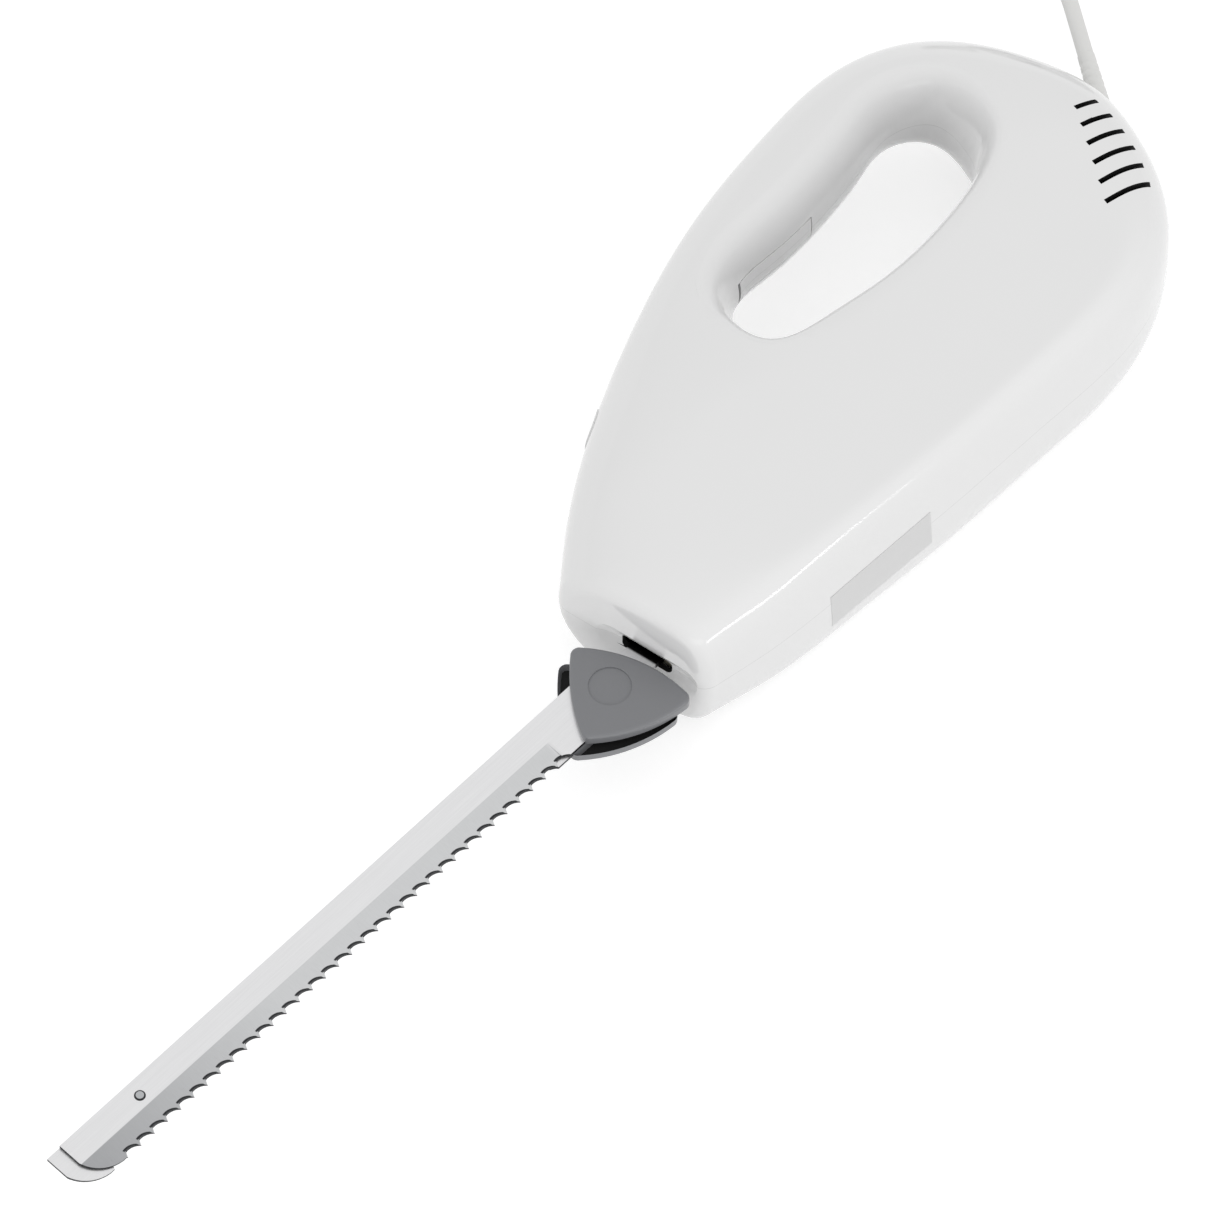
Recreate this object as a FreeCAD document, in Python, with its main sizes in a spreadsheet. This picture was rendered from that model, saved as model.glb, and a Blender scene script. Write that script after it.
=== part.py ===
import FreeCAD
import Part
import Sketcher
import math
import os
import re

V = FreeCAD.Vector

# Driving sizes in millimetres, one spreadsheet row each.
SIZES = [
    # Housing
    ("front_reach", 48.0), ("nose_reach", 43.5), ("nose_tilt", 9.5), ("body_length", 238.5),
    ("crown_height", 98.0), ("keel_depth", 31.5), ("half_thickness", 29.0), ("wall", 2.5),
    ("nose_wall", 3.0), ("nose_edge_radius", 6.0), ("recess_high", 36.0), ("recess_round", 14.0),
    ("recess_depth", 1.6), ("recess_drop", 1.5), ("mouth_high", 17.5), ("mouth_wide", 6.6),
    ("mouth_drop", 0.5), ("mouth_corner", 2.0), ("handle_flare", 12.0), ("body_flare", 8.0), ("spare", 12.0),
    ("vent_pitch", 5.9), ("vent_width", 1.7), ("vent_share", 0.8302), ("vent_first_y", -3.7),
    ("vent_step", 3.8), ("vent_edge", 23.3), ("vent_tilt", 11.0), ("vent_count", 6.0),
    # Housing screws and bosses
    ("boss_radius", 5.0), ("screw_radius", 1.5), ("screw_hole_radius", 1.52), ("head_radius", 2.9),
    ("head_height", 2.0), ("head_hole_radius", 3.2), ("head_seat", 10.0), ("screw_reach", 9.0),
    ("rib_thickness", 3.0), ("pin_boss_radius", 3.5), ("pin_boss_in", 9.0), ("lever_boss_in", 3.0),
    ("lever_pin_half", 8.0),
    # Drive
    ("motor_y", -1.5), ("worm_pitch_radius", 4.5), ("worm_core_radius", 3.4), ("worm_radius", 5.3),
    ("worm_reach", 10.0), ("thread_width", 1.1), ("thread_crest", 0.5), ("tooth_module", 1.0),
    ("wheel_teeth", 22.0), ("wheel_thickness", 5.0), ("tooth_add", 0.8), ("tooth_ded", 1.3),
    ("gap_root", 1.5), ("gap_tip", 2.6), ("eccentric", 2.5), ("eccentric_radius", 5.5),
    ("eccentric_end", 7.6), ("axle_radius", 2.0), ("run_gap", 0.04), ("touch", 0.001), ("sew", 0.01),
    # Drive sliders and guide
    ("slide_gap", 0.3), ("slider_inner", 3.4), ("slider_outer", 7.0), ("socket_inner", 1.3),
    ("lip_inner", 0.15), ("socket_half", 6.7), ("shank_half", 5.0), ("shank_gap", 0.1),
    ("socket_front", 33.5), ("socket_rear", 18.0), ("yoke_bar", 2.4), ("yoke_gap", 0.4),
    ("guide_front", 38.0), ("guide_rear", 26.0), ("guide_half_y", 11.0), ("guide_half_z", 12.5),
    # Gear frame
    ("frame_rear", 22.0), ("frame_top", 30.0), ("frame_floor", 8.5), ("floor_thickness", 4.0),
    ("plate_inner", 9.5), ("rear_wall", 4.0), ("small_screw_radius", 1.1), ("small_head_radius", 2.1),
    ("small_head_height", 1.3), ("small_screw_reach", 6.0), ("cover_screw_high", 26.0),
    ("cover_screw_mid", 13.0), ("cover_screw_front", 20.0),
    # Motor
    ("shaft_radius", 2.5), ("shaft_front", 12.0), ("shaft_past", 15.5), ("bush_radius", 5.0),
    ("bush_length", 6.0), ("stack_share", 0.4109), ("stack_length", 30.0), ("stator_half_y", 23.0),
    ("stator_half_z", 22.0), ("stator_corner", 9.0), ("bore_radius", 14.0), ("air_gap", 0.6),
    ("slot_in", 12.0), ("slot_out", 18.0), ("slot_near", 8.0), ("slot_far", 14.0), ("coil_gap", 0.2),
    ("coil_end", 6.0), ("coil_stand", 2.0), ("core_slot_width", 2.6), ("core_slot_depth", 4.5),
    ("winding_radius", 10.8), ("winding_length", 6.5), ("core_slots", 12.0), ("comm_gap", 9.0),
    ("comm_length", 12.0), ("comm_radius", 8.0), ("comm_slit", 0.6), ("comm_slit_depth", 1.0),
    ("brush_half_x", 3.0), ("brush_half_y", 3.0), ("brush_touch", 0.03), ("brush_out", 15.0),
    ("holder_in", 9.0), ("holder_out", 21.0), ("holder_wall", 2.0), ("holder_cap", 1.5),
    ("spring_wire", 0.35), ("brush_spring_radius", 2.0), ("brush_spring_turns", 4.0),
    ("bridge_gap", 4.0), ("bridge_thickness", 4.0), ("bridge_half_y", 20.0), ("bridge_half_z", 22.0),
    ("fan_gap", 7.5), ("fan_length", 10.0), ("fan_radius", 20.0), ("fan_plate", 1.5),
    ("fan_hub_radius", 6.0), ("fan_blade", 1.4), ("fan_blades", 9.0),
    # Blades
    ("blade_thickness", 1.1), ("blade_gap", 0.1), ("blade_height", 16.0), ("blade_tip", 278.0),
    ("blade_root", 62.0), ("tip_drop", 9.0), ("tip_run", 9.5), ("tip_radius", 11.0), ("spine_nick", 1.0),
    ("tooth_pitch", 5.3), ("tooth_count", 34.0), ("tooth_depth", 1.7), ("tooth_steep", 0.9),
    ("tooth_start", 11.0), ("tooth_radius", 4.6), ("grind_height", 7.4), ("edge_thickness", 0.35),
    ("grind_stop", 84.0), ("stroke", 5.0), ("rivet_from_tip", 27.0), ("rivet_y", 3.0),
    ("rivet_radius", 1.0), ("rivet_head", 1.7), ("rivet_head_height", 0.5), ("rivet_gap", 0.1),
    # Blade guards
    ("guard_inner", 0.3), ("guard_outer", 4.0), ("guard_top_x", 57.0), ("guard_top_y", 15.8),
    ("guard_heel_x", 45.0), ("guard_heel_y", 21.5), ("guard_toe_x", 76.5), ("guard_toe_y", 8.0),
    ("guard_rear_radius", 45.0), ("guard_front_radius", 62.0), ("guard_low_radius", 46.0),
    ("guard_corner", 2.6), ("guard_edge", 1.1), ("thumb_x", 58.9), ("thumb_y", -1.6),
    ("thumb_radius", 6.4), ("thumb_depth", 0.4),
    # Trigger and switch
    ("trigger_share", 0.478), ("trigger_length", 31.0), ("trigger_top_share", 0.7347), ("trigger_deep", 14.0),
    ("trigger_half", 5.0), ("trigger_round", 2.0), ("trigger_gap", 0.4), ("trigger_swing", 1.1),
    ("lug_past", 7.0), ("lug_rise", 5.5), ("pivot_past", 3.0), ("pivot_rise", 2.0), ("pin_radius", 1.5),
    ("pin_half", 12.0), ("nib_half", 2.0), ("nib_in", 8.0), ("nib_rise", 3.5), ("plunger_gap", 0.3),
    ("plunger_radius", 1.5),
    ("plunger_length", 6.0), ("plunger_hole", 5.5), ("switch_in", 3.0), ("switch_length", 23.0),
    ("switch_rise", 7.0), ("switch_deep", 7.0), ("switch_half", 5.0), ("coil_radius", 2.6),
    ("coil_turns", 3.0), ("trigger_spring_wire", 0.35),
    # Blade release
    ("button_share", 0.2063), ("button_high_share", 0.651), ("button_lean", 27.5), ("button_radius", 6.5),
    ("button_gap", 0.5), ("button_proud", 0.4), ("button_reach", 6.0), ("button_deep", 4.5),
    ("stem_radius", 2.5),
    ("stem_length", 14.0), ("button_travel", 3.0), ("lever_half", 2.0), ("lever_x", -20.0),
    ("lever_y", 36.0), ("lever_hub", 4.0), ("lever_arm", 3.0), ("lever_pad_gap", 0.5),
    ("lever_pad_half", 4.0),
    ("lever_tip_x", -20.5), ("lever_tip_y", 9.0), ("release_spring_radius", 3.6),
    ("release_spring_turns", 4.0), ("release_spring_wire", 0.4), ("well_wall", 1.5), ("well_floor", 2.0),
    ("stem_gap", 0.3),
    ("release_spring_pitch", 1.5),
    # Electrical
    ("cap_y", -8.0), ("cap_long", 18.0), ("cap_wide", 12.0), ("cap_high", 11.0),
    # Cord
    ("cord_radius", 2.5), ("exit_share", 0.98784), ("exit_high_share", 0.3194), ("exit_lean", 56.5),
    ("cord_inside", 30.0), ("sleeve_out", 20.0), ("sleeve_in", 20.0), ("sleeve_big", 3.1),
    ("sleeve_small", 2.65), ("sleeve_gap", 0.05), ("flange_radius", 4.8), ("flange_length", 2.0),
    ("straight_out", 26.0), ("entry_x", 240.0), ("entry_y", 124.0), ("coil_way", 60.0), ("coil_outer", 37.0),
    ("coil_step", 2.8), ("climb_radius", 17.6), ("coil_inner", 23.2), ("layer_low", 3.8), ("layer_gap", 5.6),
    ("tail", 31.0), ("low_half_turns", 7.0), ("high_half_turns", 5.0), ("tie_width", 8.0),
    ("tie_thickness", 1.0), ("tie_gap", 0.2), ("tie_in", 15.4), ("tie_out", 38.2),
    # Plug
    ("plug_neck", 5.0), ("plug_half", 17.5), ("plug_long", 36.0), ("plug_taper", 22.0), ("plug_edge", 2.5),
    ("plug_pin_radius", 2.0), ("plug_pin_long", 19.0), ("plug_pin_apart", 9.3),
]

# Places that follow the housing and the pieces before them.
PLACES = [
    ("vent_first_x", "body_length * vent_share - front_reach"),
    ("stack_front", "body_length * stack_share - front_reach"),
    ("stack_rear", "stack_front + stack_length"),
    ("comm_front", "stack_rear + comm_gap"),
    ("comm_rear", "comm_front + comm_length"),
    ("bridge_front", "comm_rear + bridge_gap"),
    ("fan_front", "bridge_front + fan_gap"),
    ("shaft_rear", "fan_front + shaft_past"),
    ("cap_x", "shaft_rear"),
    ("trigger_front", "body_length * trigger_share - front_reach"),
    ("trigger_rear", "trigger_front + trigger_length"),
    ("trigger_top", "crown_height * trigger_top_share"),
    ("trigger_low", "trigger_top - trigger_deep"),
    ("lug_rear", "trigger_rear + lug_past"),
    ("lug_top", "trigger_top + lug_rise"),
    ("pivot_x", "trigger_rear + pivot_past"),
    ("pivot_y", "trigger_top + pivot_rise"),
    ("nib_x", "trigger_front + nib_in"),
    ("nib_top", "trigger_top + nib_rise"),
    ("switch_front", "trigger_front + switch_in"),
    ("switch_rear", "switch_front + switch_length"),
    ("switch_low", "trigger_top + switch_rise"),
    ("switch_high", "switch_low + switch_deep"),
    ("button_x", "body_length * button_share - front_reach"),
    ("button_y", "crown_height * button_high_share"),
    ("exit_x", "body_length * exit_share - front_reach"),
    ("exit_y", "crown_height * exit_high_share"),
]

doc = FreeCAD.newDocument("carving_knife")
sheet = doc.addObject("Spreadsheet::Sheet", "sizes")
ROWS = [(alias, str(amount)) for alias, amount in SIZES] + [(alias, f"={text}") for alias, text in PLACES]
for row, (alias, content) in enumerate(ROWS, 1):
    sheet.set(f"A{row}", alias)
    sheet.set(f"B{row}", content)
    sheet.setAlias(f"B{row}", alias)
doc.recompute()
SZ = {alias: float(sheet.get(alias)) for alias, _ in ROWS}
MID = SZ["half_thickness"]
NODES = []


def formula(text):
    """Expression with every size name pointing at its spreadsheet cell."""
    def cell(found):
        word = found.group()
        return f"sizes.{word}" if word in SZ else word
    return re.sub(r"[a-z_]+", cell, text)


def number(text):
    """Present value of a formula."""
    return float(sheet.evalExpression(formula(text)))


def bind(thing, **formulas):
    """Tie properties of a document object to formulas."""
    for name, text in formulas.items():
        thing.setExpression(name.replace("__", "."), formula(text))
    return thing


def node(thing, label):
    """Register a finished sub-part under its node name."""
    thing.Label = label
    NODES.append(thing)
    return thing


def place(thing, x, y, z):
    """Tie a placement to formulas, heights counted from the parting plane."""
    return bind(thing, Placement__Base__x=x, Placement__Base__y=y, Placement__Base__z=f"half_thickness + {z}")


def box(name, x0, x1, y0, y1, z0, z1):
    """Box between two corners."""
    thing = doc.addObject("Part::Box", name)
    bind(thing, Length=f"{x1} - ({x0})", Width=f"{y1} - ({y0})", Height=f"{z1} - ({z0})")
    return place(thing, x0, y0, z0)


TURNS = {"X": FreeCAD.Rotation(V(0, 1, 0), 90), "Y": FreeCAD.Rotation(V(1, 0, 0), -90),
         "Z": FreeCAD.Rotation()}


def rod(name, axis, radius, start, end, x="0", y="0", z="0"):
    """Cylinder along one axis between two stations of that axis."""
    thing = doc.addObject("Part::Cylinder", name)
    thing.Placement = FreeCAD.Placement(V(), TURNS[axis])
    bind(thing, Radius=radius, Height=f"{end} - ({start})")
    spot = {"X": (start, y, z), "Y": (x, start, z), "Z": (x, y, start)}[axis]
    return place(thing, *spot)


def fuse(name, *parts):
    """Union of parts."""
    thing = doc.addObject("Part::MultiFuse", name)
    thing.Shapes = list(parts)
    return thing


def cut(name, base, *tools):
    """Base less the tools."""
    thing = doc.addObject("Part::Cut", name)
    thing.Base = base
    thing.Tool = tools[0] if len(tools) == 1 else fuse(f"{name}_tools", *tools)
    return thing


def gather(name, *parts):
    """Separate solids kept in one node."""
    thing = doc.addObject("Part::Compound", name)
    thing.Links = list(parts)
    return thing


def feature(name, shape):
    """Document object holding a shape that was worked out from the sizes."""
    thing = doc.addObject("Part::Feature", name)
    thing.Shape = shape
    return thing


def sketch(body, plane, name, offset, *loops):
    """Sketch on a base plane of its body; a loop is a circle or a row of corners with optional arcs."""
    made = body.newObject("Sketcher::SketchObject", name)
    support = [part for part in body.Origin.OriginFeatures if part.Role == plane][0]
    made.AttachmentSupport = [(support, "")]
    made.MapMode = "FlatFace"
    bind(made, AttachmentOffset__Base__x=offset[0], AttachmentOffset__Base__y=offset[1],
         AttachmentOffset__Base__z=offset[2])
    for loop in loops:
        if loop[0] == "circle":
            add_circle(made, *loop[1:])
        else:
            add_loop(made, loop)
    return made


def fix(made, kind, geometry, corner, text):
    """Dimension of one sketch point from the sketch origin."""
    index = made.addConstraint(Sketcher.Constraint(kind, -1, 1, geometry, corner, number(text)))
    made.setExpression(f"Constraints[{index}]", formula(text))


def add_circle(made, x, y, radius):
    """Circle fixed by centre and radius."""
    circle = Part.Circle(V(number(x), number(y), 0), V(0, 0, 1), number(radius))
    index = made.addGeometry(circle)
    fix(made, "DistanceX", index, 3, x)
    fix(made, "DistanceY", index, 3, y)
    size = made.addConstraint(Sketcher.Constraint("Radius", index, number(radius)))
    made.setExpression(f"Constraints[{size}]", formula(radius))


def add_loop(made, loop):
    """Closed loop of lines and arcs; a corner with a radius and side starts an arc."""
    spots = [V(number(corner[0]), number(corner[1]), 0) for corner in loop]
    count = len(loop)
    first = made.GeometryCount
    ends = []
    for i, corner in enumerate(loop):
        here, there = spots[i], spots[(i + 1) % count]
        if len(corner) == 2:
            made.addGeometry(Part.LineSegment(here, there))
            ends.append((1, 2))
            continue
        radius, side = number(corner[2]), corner[3]
        run = there - here
        left = V(-run.y, run.x, 0).normalize() * side
        centre = (here + there) * 0.5 + left * math.sqrt(max(radius ** 2 - run.Length ** 2 / 4, 0))
        angles = [math.atan2(p.y - centre.y, p.x - centre.x) for p in (here, there)]
        if side < 0:
            angles.reverse()
        if angles[1] < angles[0]:
            angles[1] += 2 * math.pi
        made.addGeometry(Part.ArcOfCircle(Part.Circle(centre, V(0, 0, 1), radius), *angles))
        ends.append((1, 2) if side > 0 else (2, 1))
    for i in range(count):
        follow = (i + 1) % count
        made.addConstraint(Sketcher.Constraint("Coincident", first + i, ends[i][1], first + follow,
                                               ends[follow][0]))
    for i, corner in enumerate(loop):
        fix(made, "DistanceX", first + i, ends[i][0], corner[0])
        fix(made, "DistanceY", first + i, ends[i][0], corner[1])
        if len(corner) > 2:
            size = made.addConstraint(Sketcher.Constraint("Radius", first + i, number(corner[2])))
            made.setExpression(f"Constraints[{size}]", formula(corner[2]))


def new_body(label):
    """Empty body registered as a node."""
    return node(doc.addObject("PartDesign::Body", label), label)


def pad(body, profile, length, middle=False):
    """Pad of a sketch along its normal."""
    made = body.newObject("PartDesign::Pad", f"{profile.Name}_pad")
    made.Profile = profile
    made.Midplane = middle
    bind(made, Length=length)
    doc.recompute()
    return made


def pocket(body, profile, length=None, back=True):
    """Pocket of a sketch: of a length, or right through both ways."""
    made = body.newObject("PartDesign::Pocket", f"{profile.Name}_pocket")
    made.Profile = profile
    if length is None:
        made.Type = "ThroughAll"
        made.Midplane = True
    else:
        bind(made, Length=length)
        made.Reversed = back
    before = body.Shape.Volume
    doc.recompute()
    if made.Shape.isNull() or not made.Shape.Volume < before:
        states = [(part.Name, part.getStatusString()) for part in body.Group]
        raise ValueError(f"{made.Name} removes nothing: {states}")
    return made


def polar(body, original, profile, count):
    """Pattern of a feature round the normal of its sketch."""
    made = body.newObject("PartDesign::PolarPattern", f"{original.Name}_round")
    made.Originals = [original]
    made.Axis = (profile, ["N_Axis"])
    bind(made, Occurrences=count)
    body.Tip = made
    doc.recompute()
    return made


# Blades and their guards, left one above the parting plane and right one below it, a stroke further forward.
SIDES = {"left": (1, "0"), "right": (-1, "stroke")}


def span(sign, low, high):
    """Formulas of a height range above or below the parting plane."""
    return (low, high) if sign > 0 else (f"-({high})", f"-({low})")


for side, (sign, ahead) in SIDES.items():
    near, far = span(sign, "blade_gap / 2", "blade_gap / 2 + blade_thickness")
    tip = f"-(blade_tip - stroke) - {ahead}"
    body = new_body(f"{side}_blade")
    outline = sketch(
        body, "XY_Plane", f"{side}_blade_outline", (tip, "0", f"half_thickness + {near}"),
        [("0", "blade_height / 2 - tip_drop + spine_nick", "tip_radius", 1),
         ("tip_run", "-blade_height / 2"),
         ("blade_tip - blade_root", "-blade_height / 2"),
         ("blade_tip - blade_root", "-shank_half"),
         (f"blade_tip - stroke - socket_rear - slide_gap", "-shank_half"),
         (f"blade_tip - stroke - socket_rear - slide_gap", "shank_half"),
         ("blade_tip - blade_root", "shank_half"),
         ("blade_tip - blade_root", "blade_height / 2"),
         ("0", "blade_height / 2")])
    pad(body, outline, "blade_thickness")
    scallop = sketch(
        body, "XY_Plane", f"{side}_scallop",
        (f"{tip} + tooth_start", "-blade_height / 2", f"half_thickness + {near}"),
        [("0", "0"), ("tooth_steep", "tooth_depth", "tooth_radius", -1), ("tooth_pitch", "0"),
         ("tooth_pitch", "-tooth_depth"), ("0", "-tooth_depth")])
    bite = pocket(body, scallop)
    teeth = body.newObject("PartDesign::LinearPattern", f"{side}_teeth")
    teeth.Originals = [bite]
    teeth.Direction = (scallop, ["H_Axis"])
    bind(teeth, Length="tooth_pitch * (tooth_count - 1)", Occurrences="tooth_count")
    body.Tip = teeth
    doc.recompute()
    outer_face = "blade_thickness" if sign > 0 else "0"
    edge_face = "edge_thickness" if sign > 0 else "blade_thickness - edge_thickness"
    grind = sketch(
        body, "YZ_Plane", f"{side}_grind", ("0", f"half_thickness + {near}", f"{tip} - tip_run"),
        [("grind_height - blade_height / 2", outer_face), ("-blade_height / 2 - tooth_depth", outer_face),
         ("-blade_height / 2 - tooth_depth", edge_face)])
    pocket(body, grind, "blade_tip - stroke - grind_stop + tip_run")
    hole = "(rivet_radius + rivet_gap)" if sign < 0 else "rivet_radius"
    spot = f"rivet_from_tip + {ahead}"
    if sign > 0:
        loop = ("circle", spot, "rivet_y", hole)
    else:
        loop = [(f"{spot} - 2 * stroke", f"rivet_y + {hole}", hole, 1),
                (f"{spot} - 2 * stroke", f"rivet_y - {hole}"),
                (spot, f"rivet_y - {hole}", hole, 1), (spot, f"rivet_y + {hole}")]
    slot = sketch(body, "XY_Plane", f"{side}_rivet_hole", (tip, "0", f"half_thickness + {near}"), loop)
    pocket(body, slot)

    guard = new_body(f"{side}_blade_guard")
    low, high = span(sign, "guard_inner", "guard_outer")
    shift = f"-({ahead})"
    shield = sketch(
        guard, "XY_Plane", f"{side}_shield", (shift, "0", f"half_thickness + {low}"),
        [("-guard_top_x", "guard_top_y", "guard_front_radius", 1),
         ("-guard_toe_x", "-guard_toe_y", "guard_low_radius", 1),
         ("-guard_heel_x", "-guard_heel_y", "guard_rear_radius", 1)])
    slab = pad(guard, shield, "guard_outer - guard_inner")
    rounds = [f"Edge{i}" for i, e in enumerate(slab.Shape.Edges, 1)
              if abs(e.Vertexes[0].Point.z - e.Vertexes[-1].Point.z) > SZ["guard_edge"]]
    corner = guard.newObject("PartDesign::Fillet", f"{side}_guard_corners")
    corner.Base = (slab, rounds)
    bind(corner, Radius="guard_corner")
    doc.recompute()
    rim_z = SZ["half_thickness"] + sign * SZ["guard_outer"]
    soft = guard.newObject("PartDesign::Fillet", f"{side}_guard_rim")
    soft.Base = (corner, [f"Edge{i}" for i, e in enumerate(corner.Shape.Edges, 1)
                          if all(abs(v.Point.z - rim_z) < SZ["run_gap"] for v in e.Vertexes)])
    bind(soft, Radius="guard_edge")
    doc.recompute()
    inner = low if sign > 0 else high
    channel = sketch(
        guard, "XY_Plane", f"{side}_channel", (shift, "0", f"half_thickness + {inner}"),
        [("-blade_tip", "-blade_height / 2"), ("stroke - blade_root", "-blade_height / 2"),
         ("stroke - blade_root", "-shank_half"), ("0", "-shank_half"), ("0", "shank_half"),
         ("stroke - blade_root", "shank_half"), ("stroke - blade_root", "blade_height / 2"),
         ("-blade_tip", "blade_height / 2")])
    pocket(guard, channel, "blade_gap / 2 + blade_thickness - guard_inner", sign > 0)
    face = high if sign > 0 else low
    thumb = sketch(guard, "XY_Plane", f"{side}_thumb", (shift, "0", f"half_thickness + {face}"),
                   ("circle", "-thumb_x", "thumb_y", "thumb_radius"))
    pocket(guard, thumb, "thumb_depth", sign < 0)

rivet_x = "rivet_from_tip - (blade_tip - stroke)"
skin = "blade_gap / 2 + blade_thickness"
node(fuse("blade_rivet",
          rod("rivet_shank", "Z", "rivet_radius", f"-({skin})", skin, rivet_x, "rivet_y"),
          rod("rivet_near", "Z", "rivet_head", skin, f"{skin} + rivet_head_height", rivet_x, "rivet_y"),
          rod("rivet_far", "Z", "rivet_head", f"-({skin}) - rivet_head_height", f"-({skin})", rivet_x,
              "rivet_y")),
     "blade_rivet")

# Drive sliders: a socket round the blade shank and a yoke round the eccentric.
wheel_y = "(motor_y + worm_pitch_radius + wheel_teeth * tooth_module / 2)"
for side, (sign, ahead) in SIDES.items():
    low, high = span(sign, "slider_inner", "slider_outer")
    inner_low, inner_high = span(sign, "socket_inner", "slider_inner")
    lip_low, lip_high = span(sign, "lip_inner", "socket_inner")
    half_x = "(stroke + eccentric_radius + yoke_gap)"
    half_y = "(eccentric + eccentric_radius + yoke_gap)"
    slider = new_body(f"{side}_drive_slider")
    plate = sketch(
        slider, "XY_Plane", f"{side}_slider_plate", (f"-({ahead})", "0", f"half_thickness + {low}"),
        [("-socket_front", "-socket_half"), ("-socket_rear", "-socket_half"),
         ("-socket_rear", f"{wheel_y} - {half_y} - yoke_bar"),
         (f"eccentric + {half_x} + yoke_bar", f"{wheel_y} - {half_y} - yoke_bar"),
         (f"eccentric + {half_x} + yoke_bar", f"{wheel_y} + {half_y} + yoke_bar"),
         (f"eccentric - {half_x} - yoke_bar", f"{wheel_y} + {half_y} + yoke_bar"),
         ("-socket_rear - yoke_bar", "socket_half"), ("-socket_front", "socket_half")],
        [(f"eccentric - {half_x}", f"{wheel_y} - {half_y}"),
         (f"eccentric + {half_x}", f"{wheel_y} - {half_y}"),
         (f"eccentric + {half_x}", f"{wheel_y} + {half_y}"),
         (f"eccentric - {half_x}", f"{wheel_y} + {half_y}")])
    pad(slider, plate, "slider_outer - slider_inner")
    block = sketch(
        slider, "XY_Plane", f"{side}_socket", (f"-({ahead})", "0", f"half_thickness + {inner_low}"),
        [("-socket_front", "-socket_half"), ("-socket_rear", "-socket_half"),
         ("-socket_rear", "socket_half"), ("-socket_front", "socket_half")])
    pad(slider, block, "slider_inner - socket_inner")
    inside = "shank_half + shank_gap"
    lips = sketch(
        slider, "XY_Plane", f"{side}_lips", (f"-({ahead})", "0", f"half_thickness + {lip_low}"),
        [("-socket_front", "-socket_half"), ("-socket_rear", "-socket_half"),
         ("-socket_rear", f"-({inside})"),
         ("-socket_front", f"-({inside})")],
        [("-socket_front", inside), ("-socket_rear", inside), ("-socket_rear", "socket_half"),
         ("-socket_front", "socket_half")])
    pad(slider, lips, "socket_inner - lip_inner")

# Worm wheel with an eccentric on each face, half a turn apart.
wheel = new_body("worm_wheel")
pitch_radius = "wheel_teeth * tooth_module / 2"
disc = sketch(wheel, "XY_Plane", "wheel_disc", ("0", wheel_y, "half_thickness"),
              ("circle", "0", "0", f"{pitch_radius} + tooth_add"))
pad(wheel, disc, "wheel_thickness", True)
gap = sketch(wheel, "XY_Plane", "wheel_gap", ("0", wheel_y, "half_thickness"),
             [("-gap_root / 2", f"-({pitch_radius} - tooth_ded)"),
              ("-gap_tip / 2", f"-({pitch_radius} + 2 * tooth_add)"),
              ("gap_tip / 2", f"-({pitch_radius} + 2 * tooth_add)"),
              ("gap_root / 2", f"-({pitch_radius} - tooth_ded)")])
polar(wheel, pocket(wheel, gap), gap, "wheel_teeth")
for name, sign in (("left", 1), ("right", -1)):
    low, high = span(sign, "wheel_thickness / 2", "eccentric_end")
    disc = sketch(wheel, "XY_Plane", f"{name}_eccentric", ("0", wheel_y, f"half_thickness + {low}"),
                  ("circle", f"{sign} * eccentric", "0", "eccentric_radius"))
    pad(wheel, disc, "eccentric_end - wheel_thickness / 2")
bore = sketch(wheel, "XY_Plane", "wheel_bore", ("0", wheel_y, "half_thickness"),
              ("circle", "0", "0", "axle_radius + run_gap"))
pocket(wheel, bore)

# Gear frame: right plate, floor and rear wall; left plate as a cover.
plate_out = "guide_half_z"
bed = "-frame_floor - floor_thickness"
bush_front = "frame_rear - rear_wall / 2 - bush_length / 2"
axle_hole = rod("axle_hole", "Z", "axle_radius", f"-{plate_out}", plate_out, "0", wheel_y)
bush_hole = rod("bush_hole", "X", "bush_radius", "0", "shaft_rear", y="motor_y")
screw_spots = [("frame_rear - rear_wall / 2", "cover_screw_high"),
               ("frame_rear - rear_wall / 2", "cover_screw_mid"),
               ("-cover_screw_front", "-frame_floor - floor_thickness / 2"),
               ("0", "-frame_floor - floor_thickness / 2")]
screw_holes = [rod(f"cover_screw_hole_{i}", "Z", "small_screw_radius", "plate_inner - small_screw_reach",
                   plate_out, x, y)
               for i, (x, y) in enumerate(screw_spots)]
node(cut("gear_frame",
         fuse("frame_body",
              box("frame_plate", "-guide_rear", "frame_rear", bed, "frame_top", f"-{plate_out}",
                  "-plate_inner"),
              box("frame_floor_plate", "-guide_rear", "frame_rear", bed, "-frame_floor", "-plate_inner",
                  "plate_inner"),
              box("frame_back", "frame_rear - rear_wall", "frame_rear", bed, "frame_top", "-plate_inner",
                  "plate_inner")),
         axle_hole, bush_hole, *screw_holes), "gear_frame")
node(cut("frame_cover",
         box("cover_plate", "-guide_rear", "frame_rear", bed, "frame_top", "plate_inner", plate_out),
         axle_hole, *screw_holes), "frame_cover")
node(gather("cover_screws", *[
    fuse(f"cover_screw_{i}",
         rod(f"cover_screw_shank_{i}", "Z", "small_screw_radius", "plate_inner - small_screw_reach",
             plate_out, x, y),
         rod(f"cover_screw_head_{i}", "Z", "small_head_radius", plate_out,
             f"{plate_out} + small_head_height", x, y))
    for i, (x, y) in enumerate(screw_spots)]), "cover_screws")
node(rod("wheel_axle", "Z", "axle_radius", f"-{plate_out}", plate_out, "0", wheel_y), "wheel_axle")
node(cut("guide_block",
         box("guide_body", "-guide_front", "-guide_rear", "-guide_half_y", "guide_half_y", f"-{plate_out}",
             plate_out),
         box("guide_window", "-guide_front", "-guide_rear", "-socket_half - slide_gap",
             "socket_half + slide_gap",
             "-slider_outer - slide_gap", "slider_outer + slide_gap")), "guide_block")

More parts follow.
